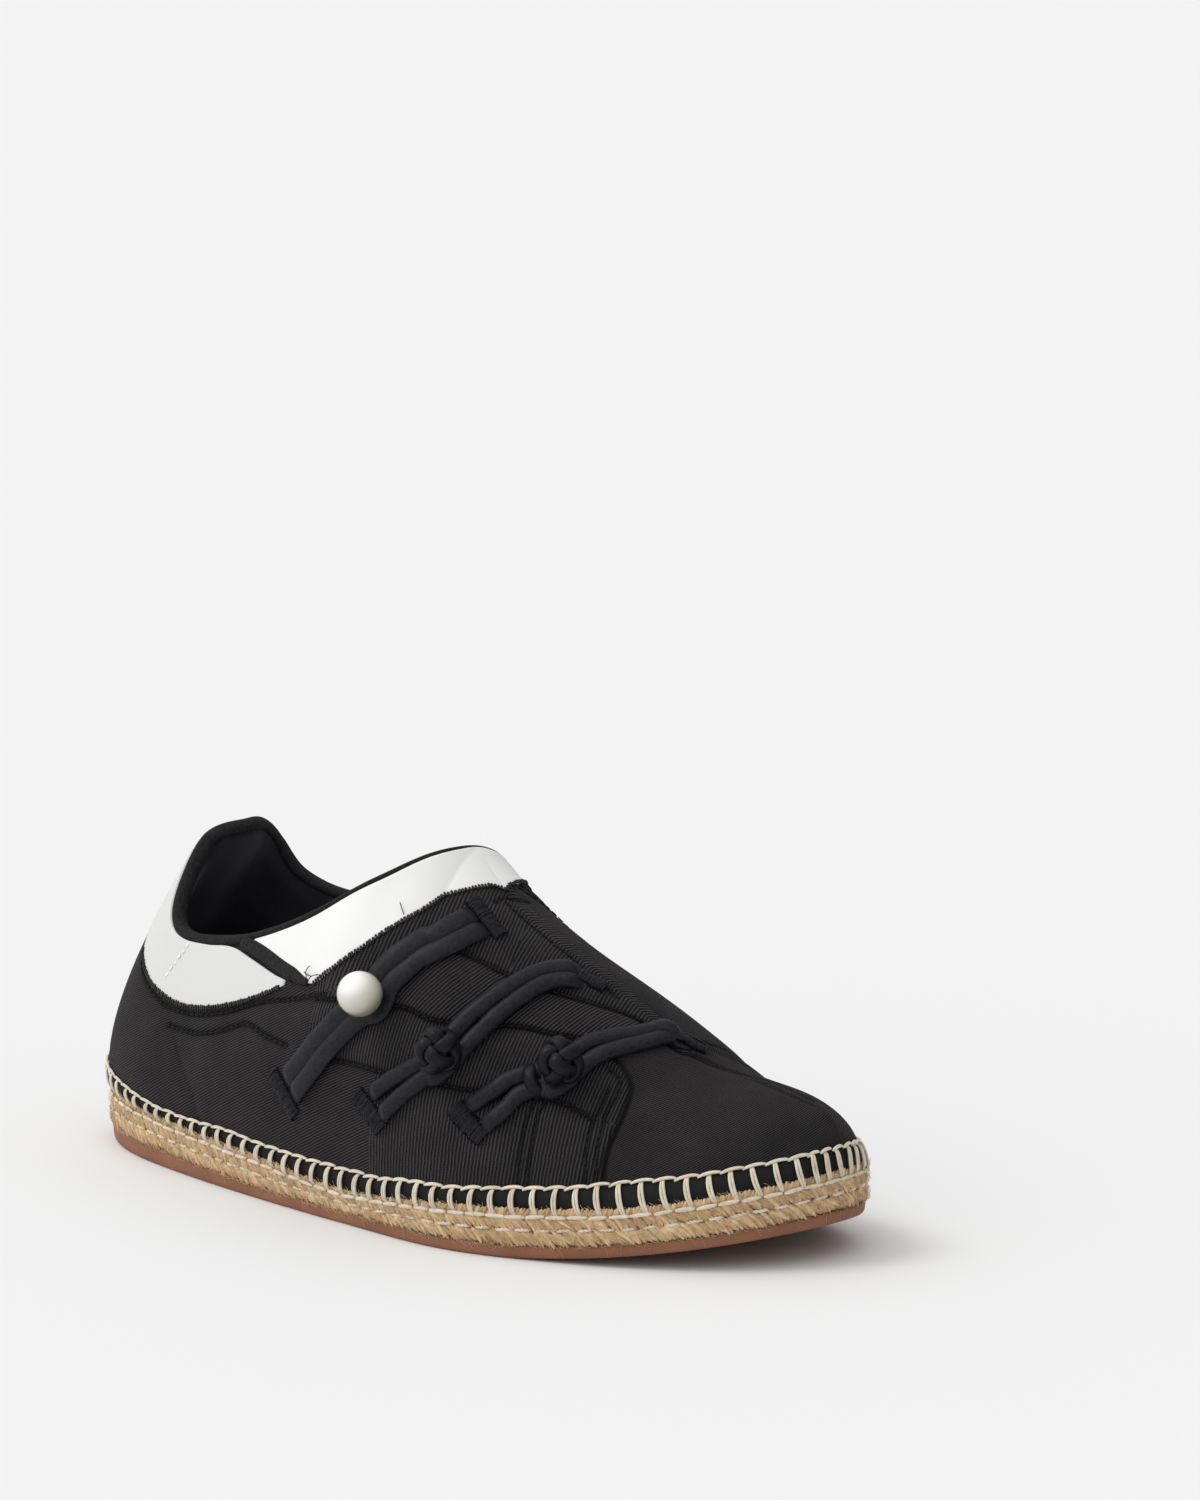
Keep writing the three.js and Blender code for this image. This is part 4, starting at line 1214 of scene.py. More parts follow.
def repeat_tree():
    """Sets copies of a shape along a path: X along the path, Y up the wall and Z out of it."""
    tree = bpy.data.node_groups.new("copies along a path", "GeometryNodeTree")
    sockets = tree.interface
    sockets.new_socket("Path", in_out="INPUT", socket_type="NodeSocketGeometry")
    sockets.new_socket("Shape", in_out="INPUT", socket_type="NodeSocketObject")
    for name in ("Spacing", "Lean", "Wobble", "Scatter", "Size spread"):
        sockets.new_socket(name, in_out="INPUT", socket_type="NodeSocketFloat")
    sockets.new_socket("Seed", in_out="INPUT", socket_type="NodeSocketInt")
    sockets.new_socket("Finish", in_out="INPUT", socket_type="NodeSocketMaterial")
    sockets.new_socket("Copies", in_out="OUTPUT", socket_type="NodeSocketGeometry")
    join = tree.links.new

    def node(kind, **settings):
        made = tree.nodes.new(kind)
        for key, value in settings.items():
            setattr(made, key, value)
        return made

    def maths(operation, a, b):
        made = node("ShaderNodeMath", operation=operation)
        for k, value in enumerate((a, b)):
            if isinstance(value, (int, float)):
                made.inputs[k].default_value = value
            else:
                join(value, made.inputs[k])
        return made.outputs[0]

    start, end = node("NodeGroupInput"), node("NodeGroupOutput")
    given = start.outputs

    def chance(extra):
        """A random number from -1 to 1 for each copy."""
        made = node("FunctionNodeRandomValue", data_type="FLOAT")
        made.inputs[2].default_value = -1
        made.inputs[3].default_value = 1
        join(maths("ADD", given["Seed"], extra), made.inputs["Seed"])
        return made.outputs[1]

    curve = node("GeometryNodeMeshToCurve")
    join(given["Path"], curve.inputs["Mesh"])
    even = node("GeometryNodeResampleCurve", mode="LENGTH")
    join(curve.outputs["Curve"], even.inputs["Curve"])
    join(given["Spacing"], even.inputs["Length"])

    out = node("GeometryNodeInputNamedAttribute", data_type="FLOAT_VECTOR")
    out.inputs["Name"].default_value = "out"
    tall = node("GeometryNodeInputNamedAttribute", data_type="FLOAT")
    tall.inputs["Name"].default_value = "tall"
    way = node("GeometryNodeInputTangent")
    facing = node("FunctionNodeAxesToRotation", primary_axis="Z", secondary_axis="X")
    join(out.outputs["Attribute"], facing.inputs["Primary Axis"])
    join(way.outputs["Tangent"], facing.inputs["Secondary Axis"])
    tilt = node("FunctionNodeAxisAngleToRotation")
    tilt.inputs["Axis"].default_value = (0, 0, 1)
    join(maths("ADD", given["Lean"], maths("MULTIPLY", given["Wobble"], chance(1))), tilt.inputs["Angle"])
    turned = node("FunctionNodeRotateRotation", rotation_space="LOCAL")
    join(facing.outputs["Rotation"], turned.inputs["Rotation"])
    join(tilt.outputs["Rotation"], turned.inputs["Rotate By"])

    size = node("ShaderNodeCombineXYZ")
    join(maths("ADD", maths("MULTIPLY", given["Size spread"], chance(2)), 1.0), size.inputs["X"])
    taller = maths("ADD", maths("MULTIPLY", given["Size spread"], chance(3)), 1.0)
    join(maths("MULTIPLY", taller, tall.outputs["Attribute"]), size.inputs["Y"])
    join(maths("ADD", maths("MULTIPLY", given["Size spread"], chance(4)), 1.0), size.inputs["Z"])

    shift = node("ShaderNodeCombineXYZ")
    for k, axis in enumerate("XYZ"):
        join(maths("MULTIPLY", given["Scatter"], chance(5 + k)), shift.inputs[axis])
    loose = node("GeometryNodeSetPosition")
    join(even.outputs["Curve"], loose.inputs["Geometry"])
    join(shift.outputs["Vector"], loose.inputs["Offset"])

    shape = node("GeometryNodeObjectInfo")
    join(given["Shape"], shape.inputs["Object"])
    copies = node("GeometryNodeInstanceOnPoints")
    join(loose.outputs["Geometry"], copies.inputs["Points"])
    join(shape.outputs["Geometry"], copies.inputs["Instance"])
    join(turned.outputs["Rotation"], copies.inputs["Rotation"])
    join(size.outputs["Vector"], copies.inputs["Scale"])
    tone = node("GeometryNodeStoreNamedAttribute", data_type="FLOAT", domain="INSTANCE")
    tone.inputs["Name"].default_value = "tone"
    join(copies.outputs["Instances"], tone.inputs["Geometry"])
    join(chance(9), tone.inputs["Value"])
    real = node("GeometryNodeRealizeInstances")
    join(tone.outputs["Geometry"], real.inputs["Geometry"])
    painted = node("GeometryNodeSetMaterial")
    join(real.outputs["Geometry"], painted.inputs["Geometry"])
    join(given["Finish"], painted.inputs["Material"])
    join(painted.outputs["Geometry"], end.inputs["Copies"])
    return tree


REPEAT_TREE = repeat_tree()


def along_path(
    name, path, shape, material, spacing, lean=0.0, wobble=0.0, scatter=0.0, size_spread=0.0, seed=1
):
    """Copies of shape along path, as one plain mesh. The path's object becomes the piece."""
    modifier = path.modifiers.new("copies", "NODES")
    modifier.node_group = REPEAT_TREE
    values = {
        "Shape": shape,
        "Spacing": spacing,
        "Lean": lean,
        "Wobble": wobble,
        "Scatter": scatter,
        "Size spread": size_spread,
        "Seed": seed,
        "Finish": material,
    }
    for item in REPEAT_TREE.interface.items_tree:
        if item.item_type == "SOCKET" and item.in_out == "INPUT" and item.name in values:
            modifier[item.identifier] = values[item.name]
    graph = bpy.context.evaluated_depsgraph_get()
    made = path.evaluated_get(graph)
    mesh = bpy.data.meshes.new_from_object(made, preserve_all_data_layers=True, depsgraph=graph)
    path.modifiers.clear()
    path.data = mesh
    path.name = name
    return path


def drop(*shapes):
    for shape in shapes:
        bpy.data.objects.remove(shape)


def upright(count):
    """The way up for each point of a shape that lies flat."""
    return np.tile([0.0, 0.0, 1.0], (count, 1))


def strand(name, width, thick, bow=0.0, across=6, along=6, taper=0.5):
    """A spindle one unit tall with rounded ends, for jute strands and thread."""
    y = np.linspace(-0.5, 0.5, along + 1)
    points = np.stack([bow * (1 - (2 * y) ** 2), y, 0 * y], 1)
    swell = taper + (1 - taper) * np.sqrt(np.clip(1 - (2 * y) ** 2, 0, 1))
    return tube(name, points, upright(along + 1), width * swell, thick * swell, across)


def stitch(name, width, thick, length, across=6, along=5, taper=0.5):
    """A strand that lies along the path, of the given length."""
    shape = strand(name, width, thick, 0.0, across, along, taper)
    shape.data.transform(Matrix.Rotation(math.radians(90), 4, "Z"))
    for point in shape.data.vertices:
        point.co.x *= length
    return shape


# The sole


def stitch_t(v):
    """t of the blanket stitch's top line."""
    return np.maximum(through(STITCH_LINE, station_of(v)), 0.004)


def edge_height(v):
    """How far the jute's upper edge stands over the sole's underside."""
    return MM * through(JUTE_EDGE, station_of(v))


def sole_side(v, share, inset=0.0):
    """A place on the jute's side: share is 0 where it meets the rubber and 1 at its upper edge."""
    xy = outline(v, inset)
    x, y = xy[..., 0], xy[..., 1]
    height = underside(x, y) + mix(rubber_thickness(x), edge_height(v), share)
    return np.concatenate([xy, height[..., None]], -1) + ORIGIN


# Where the row of twine and the running stitch lie on the jute's side.
TWINE_SHARE = 0.43
RUNNING_SHARE = 0.8
# How far the jute lies in from the sole's outline.
JUTE_INSET = 0.35 * MM


def braid_inset(share):
    """How far the jute's side lies in from the outline: two rounded braids, one above the other."""
    lower = np.clip(share / TWINE_SHARE, 0, 1)
    upper = np.clip((share - TWINE_SHARE) / (1 - TWINE_SHARE), 0, 1)
    round_lower = 1 - np.sqrt(np.clip(1 - (2 * lower - 1) ** 2, 0, 1))
    round_upper = 1 - np.clip(1 - np.abs(2 * upper - 1) ** 3, 0, 1)
    return BRAID_GROOVE * np.where(share < TWINE_SHARE, round_lower, 0.8 * round_upper) + JUTE_INSET


def level_out(v):
    way = outwards(v)
    return np.concatenate([way, np.zeros(way.shape[:-1] + (1,))], -1)


def jute_rows(jute, thread, twine):
    """The strands of the braids, the running stitch through them and the row of twine between them."""
    v = np.linspace(0, 2, 1201)[:-1]
    tall = edge_height(v) - rubber_thickness(outline(v)[:, 0])
    # Name, share of the jute's side, share of its height that a strand spans, lean, pitch and seed.
    rows = (
        ("jute_top_row", 0.5 * (1 + RUNNING_SHARE), 0.30, math.radians(-38), 0.95, 11),
        ("jute_upper_braid", 0.5 * (RUNNING_SHARE + TWINE_SHARE), 0.52, math.radians(42), 0.92, 12),
        ("jute_lower_braid", 0.5 * TWINE_SHARE, 0.56, math.radians(46), 1.0, 13),
    )
    sink = 0.35 * MM
    lens = strand("strand_shape", 1.5 * MM, 1.25 * MM, 0.3 * MM, 6, 5, 0.4)
    for name, share, reach, lean, pitch, seed in rows:
        points = sole_side(v, share, braid_inset(share) + sink)
        path = guide(name, points, level_out(v), tall * reach, closed=True)
        piece = along_path(name, path, lens, jute, pitch * MM, lean, 0.2, 0.22 * MM, 0.16, seed)
        finish_piece(piece, None, "jute")
    drop(lens)

    stitch_pitch = 6.6 * MM
    dash = stitch("dash_shape", 1.3 * MM, 1.0 * MM, 6.1 * MM, 8, 6, 0.6)
    points = sole_side(v, RUNNING_SHARE, braid_inset(RUNNING_SHARE) - 0.3 * MM)
    path = guide("running_stitch", points, level_out(v), 1.0, closed=True)
    piece = along_path("running_stitch", path, dash, thread, stitch_pitch, 0.03, 0.06, 0.15 * MM, 0.08, 21)
    finish_piece(piece, None, "jute")
    drop(dash)

    ply = twisted_dash("twine_shape", 5.0 * MM, 1.15 * MM)
    path = guide("twine_row", sole_side(v, TWINE_SHARE, 0.4 * MM), level_out(v), 1.0, closed=True)
    piece = along_path("twine_row", path, ply, twine, stitch_pitch, 0.04, 0.06, 0.15 * MM, 0.08, 22)
    finish_piece(piece, None, "jute")
    drop(ply)


def twisted_dash(name, length, width):
    """Two plies twisted round each other along X, dipping into the jute at both ends."""
    turns = 2.2
    x = np.linspace(-0.5, 0.5, 13)
    dip = -0.9 * MM * np.abs(2 * x) ** 4
    parts = []
    for phase in (0, math.pi):
        turn = 2 * math.pi * turns * x + phase
        points = np.stack([x * length, 0.22 * width * np.cos(turn), 0.22 * width * np.sin(turn) + dip], 1)
        parts.append(tube(name, points, upright(len(x)), 0.6 * width, 0.6 * width, 4))
    return joined(parts)


def joined(parts):
    """One object from several, which must all be new meshes."""
    shape = bmesh.new()
    for part in parts:
        shape.from_mesh(part.data)
    shape.to_mesh(parts[0].data)
    shape.free()
    for part in parts[1:]:
        bpy.data.objects.remove(part)
    return parts[0]


def fuzz(jute):
    """Fine loose fibres on the jute, some of them over the rubber."""
    v = np.linspace(0, 2, 1201)[:-1]
    y = np.linspace(-0.5, 0.5, 6)
    thick = 0.09 * MM
    hairs = []
    for bend, length in ((0.9, 4.2), (-0.7, 3.4), (0.4, 5.4)):
        points = np.stack([bend * MM * (1 - (2 * y) ** 2), y * length * MM, 0.5 * MM * np.sin(3 * y)], 1)
        hairs.append(tube("hair_shape", points, upright(6), thick, thick, 3))
    # Share of the jute's side, spacing in millimetres, wobble, seed and which hair.
    rows = (
        (0.9, 0.7, 1.3, 31, 0),
        (0.62, 0.75, 1.4, 32, 1),
        (0.5, 0.9, 1.1, 33, 2),
        (0.22, 0.6, 1.5, 34, 0),
        (0.08, 0.55, 1.0, 35, 1),
        (-0.02, 1.3, 0.9, 36, 2),
    )
    for share, spacing, wobble, seed, which in rows:
        inset = 0.15 * MM if share > 0 else 0.6 * MM
        name = f"jute_fuzz_{seed - 30}"
        path = guide(name, sole_side(v, share, inset), level_out(v), 1.0, closed=True)
        piece = along_path(name, path, hairs[which], jute, spacing * MM, 0.6, wobble, 0.55 * MM, 0.4, seed)
        finish_piece(piece, None, "jute")
    drop(*hairs)


TREAD_DEPTH = 0.8 * MM
TREAD_INSET = 5 * MM
TREAD_MARGIN = 3 * MM
TREAD_PITCH = 4.4 * MM
TREAD_ROWS = 13


def make_tread(rubber):
    """Rows of small blocks in the recess of the outsole's underside."""
    corners = [(-1.3, -2.1), (1.3, -2.1), (1.3, 2.1), (-1.3, 2.1)]
    foot = [(x * MM, y * MM, -0.2 * MM) for x, y in corners]
    head = [(0.85 * x * MM, 0.9 * y * MM, TREAD_DEPTH - 0.02 * MM) for x, y in corners]
    faces = [(3, 2, 1, 0), (4, 5, 6, 7), (0, 1, 5, 4), (1, 2, 6, 5), (2, 3, 7, 6), (3, 0, 4, 7)]
    block = new_mesh("tread_block_shape", foot + head, faces, None, False)
    stations = stations_between(0.06, 0.95, 200)
    near = outline(stations, TREAD_INSET + TREAD_MARGIN)
    far = outline(2 - stations, TREAD_INSET + TREAD_MARGIN)
    for k, share in enumerate(np.linspace(0, 1, TREAD_ROWS)):
        xy = mix(near, far, share)
        height = underside(xy[:, 0], xy[:, 1]) + TREAD_DEPTH
        points = np.concatenate([xy, height[:, None]], 1) + ORIGIN
        down = np.tile([0.0, 0.0, -1.0], (len(points), 1))
        path = guide(f"tread_{k}", points, down, 1.0)
        piece = along_path(f"tread_blocks_{k + 1}", path, block, rubber, TREAD_PITCH)
        finish_piece(piece, None, "rubber")
    drop(block)


# The rubber's side from below upwards: its inset in millimetres, and the share of its thickness.
RUBBER_SIDE = [(2.2, 0), (0.8, 0.04), (0.3, 0.16), (0, 0.4), (0, 0.75), (0.1, 0.92), (0.4, 0.99), (1.6, 1)]


def make_sole(rubber, jute, jute_hair, thread, twine, lining):
    v = both_sides(stations_between(0, 1, 240))

    def recess(x, y):
        return underside(x, y) + TREAD_DEPTH

    def rubber_height(share):
        return lambda x, y: underside(x, y) + share * (rubber_thickness(x) - 0.1 * MM)

    rings = [sole_ring(v, TREAD_INSET + 0.4 * MM, recess), sole_ring(v, TREAD_INSET, underside)]
    for inset, share in RUBBER_SIDE:
        rings.append(sole_ring(v, BRAID_GROOVE + inset * MM - RUBBER_STEP, rubber_height(share)))
    outsole = layered("rubber_outsole", rings, recess, rubber_height(1))
    finish_piece(outsole, rubber, "rubber", "outsole")
    make_tread(rubber)

    shares = np.concatenate([np.linspace(0, TWINE_SHARE, 9), np.linspace(TWINE_SHARE, 1, 11)[1:]])
    rings = [sole_side(v, share, braid_inset(share) + 0.5 * MM) for share in shares]
    rings.append(sole_ring(v, UPPER_INSET + 1.2 * MM, jute_top))
    core = layered("jute_core", rings, lambda x, y: underside(x, y) + rubber_thickness(x), jute_top)
    finish_piece(core, jute, "jute", "midsole")
    jute_rows(jute, thread, twine)
    fuzz(jute_hair)

    inset = UPPER_INSET + WALL + INSOLE_CLEARANCE
    cup = 0.8 * MM

    def low(x, y):
        return jute_top(x, y) + GAP

    def high(x, y):
        return low(x, y) + INSOLE_THICKNESS + cup * np.abs(y / (BALL_WIDTH / 2)) ** 2

    insole = layered("insole_sock", [sole_ring(v, inset, low), sole_ring(v, inset, high)], low, high)
    finish_piece(insole, lining, "lining", "insole")


RAND_INSET = 1.7 * MM
RAND_DROP = 0.8 * MM
RAND_LIFT = 0.55 * MM
RAND_SINK = 0.6 * MM
RAND_BULGE = 0.75 * MM
RAND_DEPTH = 1.6 * MM


def rand_edges(v):
    """The rand's lower edge on the jute and its upper edge on the wall."""
    low = sole_side(v, 1.0, RAND_INSET)
    low[..., 2] -= RAND_DROP
    t = stitch_t(v)
    high = place(v, t, relief(v, t) + RAND_LIFT)
    return low, high


def make_rand(material):
    """The plain black band that the blanket stitch holds down."""
    v = np.linspace(0, 2, 701)[:-1]
    low, high = rand_edges(v)
    t = stitch_t(v)
    out = unit(normal(v, np.maximum(t * 0.5, 0.01)))
    share = np.linspace(0, 1, 9)
    bulge = RAND_BULGE * np.sin(np.pi * share)
    front = low[:, None] * (1 - share)[None, :, None] + high[:, None] * share[None, :, None]
    front = front + out[:, None] * bulge[None, :, None]
    behind = place(v, t, relief(v, t) - RAND_SINK)
    foot = low - out * RAND_DEPTH
    loop = np.concatenate([front, behind[:, None], foot[:, None]], 1)
    count, n = loop.shape[:2]
    i, k = np.meshgrid(np.arange(count), np.arange(n), indexing="ij")
    j, m = (i + 1) % count, (k + 1) % n
    faces = np.stack([i * n + k, j * n + k, j * n + m, i * n + m], -1).reshape(-1, 4)
    obj = new_mesh("rand_band", loop.reshape(-1, 3), faces)
    finish_piece(obj, material, "knit")


def leg_shape():
    """A leg of the blanket stitch, one unit tall: two plies side by side, with their ends sunk."""
    y = np.linspace(-0.5, 0.5, 8)
    bow = -0.55 * MM * (1 - (2 * y) ** 2) + 0.9 * MM * np.clip(-y - 0.1, 0, 1) ** 1.5
    depth = 1.0 * MM * (1 - (2 * y) ** 2) ** 0.6 - 0.5 * MM * (np.abs(2 * y) ** 6)
    plies = []
    for side in (-0.5, 0.5):
        apart = side * 0.86 * MM * (0.6 + 0.5 * (1 - (2 * y) ** 2))
        points = np.stack([bow + apart, y, depth], 1)
        plies.append(tube("leg_shape", points, upright(8), 0.88 * MM, 0.85 * MM, 6))
    return joined(plies)


def span_shape(length):
    """The thread from the top of one leg to the next, thickest in its middle."""
    x = np.linspace(-0.5, 0.5, 11)
    bow = 0.5 * MM * (1 - (2 * x) ** 2) + 0.5 * MM * x
    points = np.stack([x * length, bow, 0.35 * MM * (1 - (2 * x) ** 4)], 1)
    taper = 1 - 0.35 * np.abs(2 * x) ** 3
    return tube("span_shape", points, upright(11), 1.1 * MM * taper, 0.95 * MM * taper, 6)


# The blanket stitch's stretches: name, v where it starts and ends, pitch in millimetres and seed.
STRETCHES = (
    ("outer", 0.0, 0.928, 6.6, 41),
    ("tip", 0.948, 1.035, 3.9, 42),
    ("inner", 1.055, 1.985, 6.6, 43),
)


def blanket_stitch(thread):
    """The legs over the rand and the thread that runs along their tops."""
    leg = leg_shape()
    for name, start, end, pitch, seed in STRETCHES:
        v = np.linspace(start, end, int(900 * (end - start)))
        high = rand_edges(v)[1]
        foot = sole_side(v, mix(1.02, 0.84, smooth(0.2, 0.5, station_of(v))), 0.5 * MM)
        tall = np.linalg.norm(high - foot, axis=1) + 0.5 * MM
        middle = (high + foot) / 2
        out = unit(np.cross(unit(np.gradient(middle, axis=0)), unit(high - foot)))
        path = guide(f"legs_{name}", middle + out * 0.35 * MM, out, tall)
        legs = f"blanket_legs_{name}"
        piece = along_path(legs, path, leg, thread, pitch * MM, 0.06, 0.07, 0.18 * MM, 0.06, seed)
        finish_piece(piece, None, "jute")
        span = span_shape(pitch * 1.1 * MM)
        face = normal(v, np.maximum(stitch_t(v), 0.02))
        path = guide(f"spans_{name}", high + face * 0.2 * MM, face, 1.0)
        top = f"blanket_top_{name}"
        piece = along_path(top, path, span, thread, pitch * MM, 0.0, 0.05, 0.12 * MM, 0.05, seed + 10)
        finish_piece(piece, None, "jute")
        drop(span)
    drop(leg)


# Edges, tape and stitches on the upper


def seam_guide(name, line, lift):
    """A path for what is repeated along a seam's line of (v, t), at a distance off the knit."""
    places, _ = seam_points(line, 1.0 * MM)
    v, t = places[:, 0], places[:, 1]
    return guide(name, place(v, t, relief(v, t) + lift), normal(v, t), 1.0)


def edge_teeth(name, line, tooth, material, seed):
    """A serrated knit edge along a line of (v, t)."""
    path = seam_guide(name, line, 0.95 * MM)
    piece = along_path(name, path, tooth, material, 1.15 * MM, 0.0, 0.18, 0.12 * MM, 0.18, seed)
    return finish_piece(piece, None, "knit")


def make_edges(knit):
    """The knit's raw serrated edges over the smooth panels."""
    tooth = strand("tooth_shape", 1.0 * MM, 0.8 * MM, 0.0, 6, 5, 0.5)
    for point in tooth.data.vertices:
        point.co.y *= 1.5 * MM
    for k, (start, end) in enumerate(((-0.31, -0.2), (0.135, 0.415))):
        v = np.linspace(start, end, 24)
        line = np.stack([v, through(HEEL_PANEL, v, 1)], 1)
        edge_teeth(f"heel_panel_knit_edge_{k + 1}", line, tooth, knit, 54 + k)
    outer = [(row[0], row[1]) for row in FRONT_BAND if row[0] >= 0.457]
    edge_teeth("front_band_knit_edge", outer[:-1] + [(BAND_TIP, 0.985)], tooth, knit, 52)
    inner = [(2 - row[0], row[2]) for row in FRONT_BAND][::-1]
    edge_teeth("inner_band_knit_edge", [(2 - BAND_TIP, 0.985)] + inner[1:], tooth, knit, 53)
    drop(tooth)


STITCH_LENGTH = 1.9 * MM


def make_row_stitches(thread):
    """Short thread stitches along the double rows and the seams they hold."""
    shape = stitch("stitch_shape", 0.5 * MM, 0.42 * MM, STITCH_LENGTH)
    seams = [COLLAR_ROW, QUILT_ROW, QUARTER_SEAM, FLAP_STRIP_SEAM[:8], QUARTER_BRANCH, flap_edge_line()]
    rows = QUARTER_ROWS + TOE_ROWS + INNER_ROWS + [THROAT_ROW, RIDGE_ROW] + seams
    for k, line in enumerate(rows):
        path = seam_guide(f"row_{k}", line, 0.22 * MM)
        name = f"stitch_row_{k + 1}"
        piece = along_path(name, path, shape, thread, 2.6 * MM, 0.0, 0.08, 0.06 * MM, 0.1, 60 + k)
        finish_piece(piece, None, "knit")
    drop(shape)


PANEL_JOIN = [(0.247, 0.96), (0.242, 0.874), (0.236, 0.78)]


def make_panel_join(thread):
    """The stitches across the heel panel where its two lengths join."""
    shape = stitch("join_stitch_shape", 1.1 * MM, 0.5 * MM, STITCH_LENGTH)
    path = seam_guide("panel_join", PANEL_JOIN, 0.95 * MM)
    piece = along_path("panel_join_stitches", path, shape, thread, 2.3 * MM, 0.0, 0.2, 0.1 * MM, 0.1, 71)
    finish_piece(piece, None, "smooth")
    drop(shape)


# The cut thread ends: v, t, length in millimetres and turn in radians.
THREAD_ENDS = [
    (0.522, 0.711, 4, 0.6),
    (0.446, 0.69, 4, -0.5),
    (0.452, 0.68, 3, 1.2),
    (0.46, 0.67, 3.5, 2.2),
    (0.43, 0.7, 2.5, 0.2),
]


def make_loose_threads(thread):
    """Cut thread ends that stand out where the stitching starts and stops."""
    for k, (v, t, length, turn) in enumerate(THREAD_ENDS):
        v, t = np.array(v), np.array(t)
        out = normal(v, t)
        side = unit(np.cross(out, [math.cos(turn), 0.3, math.sin(turn)]))
        share = np.linspace(0, 1, 9)[:, None]
        start = place(v, t, relief(v, t) + 0.7 * MM)
        points = start + side * length * MM * share + out * 1.4 * MM * np.sin(2.4 * share)
        obj = tube(f"thread_end_{k + 1}", points, np.repeat(out[None], 9, 0) + 0.01, 0.3 * MM, 0.3 * MM, 5)
        finish_piece(obj, thread, "knit")


# Smooth panels, tape and lining


def make_lining(material):
    v = both_sides(np.sort(np.append(stations_between(0, 1, 120), THROAT)))
    rows = spread(np.zeros_like(v), np.ones_like(v), 40)
    few = spread(np.zeros_like(v), np.ones_like(v), 8)

    def glued(v, t):
        return -WALL / 2 - 0.05 * MM + 0 * v

    def seen(v, t):
        return -WALL - padding(v, t)

    return finish_piece(skin("lining", v, few, glued, seen, True, rows), material, "lining")


# How far a smooth panel's two faces stand off the knit and sink into it.
PANEL_LIFT = 0.85 * MM
PANEL_SINK = 0.3 * MM


def smooth_panel(name, v, rows, material, node):
    """A thin panel on the knit, over the columns v and the grid of t in rows."""

    def face(v, t):
        return relief(v, t) + PANEL_LIFT

    def back(v, t):
        return relief(v, t) - PANEL_SINK

    return finish_piece(skin(name, v, rows, face, back, False), material, "smooth", node)


def make_front_band(material):
    front = stations_between(THROAT, BAND_TIP, 24)[1:]
    outer = np.concatenate([stations_between(FRONT_BAND[0][0], THROAT, 80), front])
    inner = np.concatenate([stations_between(BAND_INNER_END, THROAT, 80), front])

    def rows(station, column):
        top = np.where(station >= THROAT - 1e-9, 1, mix(PANEL_TOP, 1, smooth(THROAT - 0.12, THROAT, station)))
        return spread(np.minimum(top, through(FRONT_BAND, station, column)), top, 16)

    v = np.concatenate([outer, 2 - inner[::-1]])
    grid = np.concatenate([rows(outer, 1), rows(inner[::-1], 2)])
    return smooth_panel("front_band_smooth", v, grid, material, "front_band")


def make_heel_panel(material):
    v = stations_between(HEEL_PANEL[0][0], HEEL_PANEL[-1][0], 140)
    rows = spread(through(HEEL_PANEL, v, 1), through(HEEL_PANEL, v, 2), 16)
    return smooth_panel("heel_panel_smooth", v, rows, material, "heel_panel")


BINDING_TALL = 4.0 * MM
BINDING_OVER = 1.2 * MM


def make_binding(material):
    """The tape round the collar: wide and flat round the heel, narrow along the front."""
    v = both_sides(stations_between(0, THROAT, 200))
    one = np.ones_like(v)
    outside = place(v, one, relief(v, one))
    inside = place(v, one, -WALL - padding(v, one))
    along = unit(np.roll(outside, -1, 0) - np.roll(outside, 1, 0))
    across = outside - inside
    across = unit(across - along * (across * along).sum(-1, keepdims=True))
    up = unit(np.cross(across, along))
    share = smooth(0.24, 0.36, station_of(v))
    radius = mix(BINDING_HEEL, BINDING_FRONT, share)
    centre = (outside + inside) / 2 + up * (radius * mix(0.1, 0.6, share))[:, None]
    thick = np.linalg.norm(outside - inside, axis=1) + BINDING_OVER
    tall = mix(BINDING_TALL, 2.4 * radius, share)
    obj = tube("collar_binding_tape", centre, up, thick, tall, 22, closed=True)
    return finish_piece(obj, material, "lining", "collar_binding")


PANEL_STRIP = [(0.343, 0.99), (0.377, 0.905), (0.418, 0.775), (0.45, 0.66)]
STRIP_WIDTH = 4.5 * MM
STRIP_THICKNESS = 1.2 * MM


def make_panel_strip(material):
    """The tape between the two smooth panels on the outer side."""
    places, _ = seam_points(PANEL_STRIP, 1.0 * MM)
    v, t = places[:, 0], places[:, 1]
    points = place(v, t, relief(v, t) + 0.9 * MM)
    wide = STRIP_WIDTH * mix(1, 0.5, smooth(0.75, 1, np.linspace(0, 1, len(v))))
    obj = tube("panel_strip_tape", points, normal(v, t), wide, STRIP_THICKNESS, 14)
    return finish_piece(obj, material, "lining")


# Frogs

# A cord's width and height as shares of its diameter, where it lies round and where it lies flat.
ROUND_CORD = (1.26, 0.88)
FLAT_CORD = (1.5, 0.6)
KNOT_CORD_WIDTH = 4.6 * MM
KNOT_CORD_HEIGHT = 3.0 * MM
WRAP_RADIUS = 4.6 * MM
WRAP_AT = 3.2 * MM
WRAP_SLANT = 1.5 * MM
SHANK_DIAMETER = 3.2 * MM


def lying(v, t):
    """The centre of a cord that lies at (v, t), on the quarter's level until it is past the toe seam."""
    level = np.maximum(relief(v, t), relief(np.asarray(v) - 2 * SEAM_WIDTH, t))
    return place(v, t, level + CORD_DIAMETER / 2)


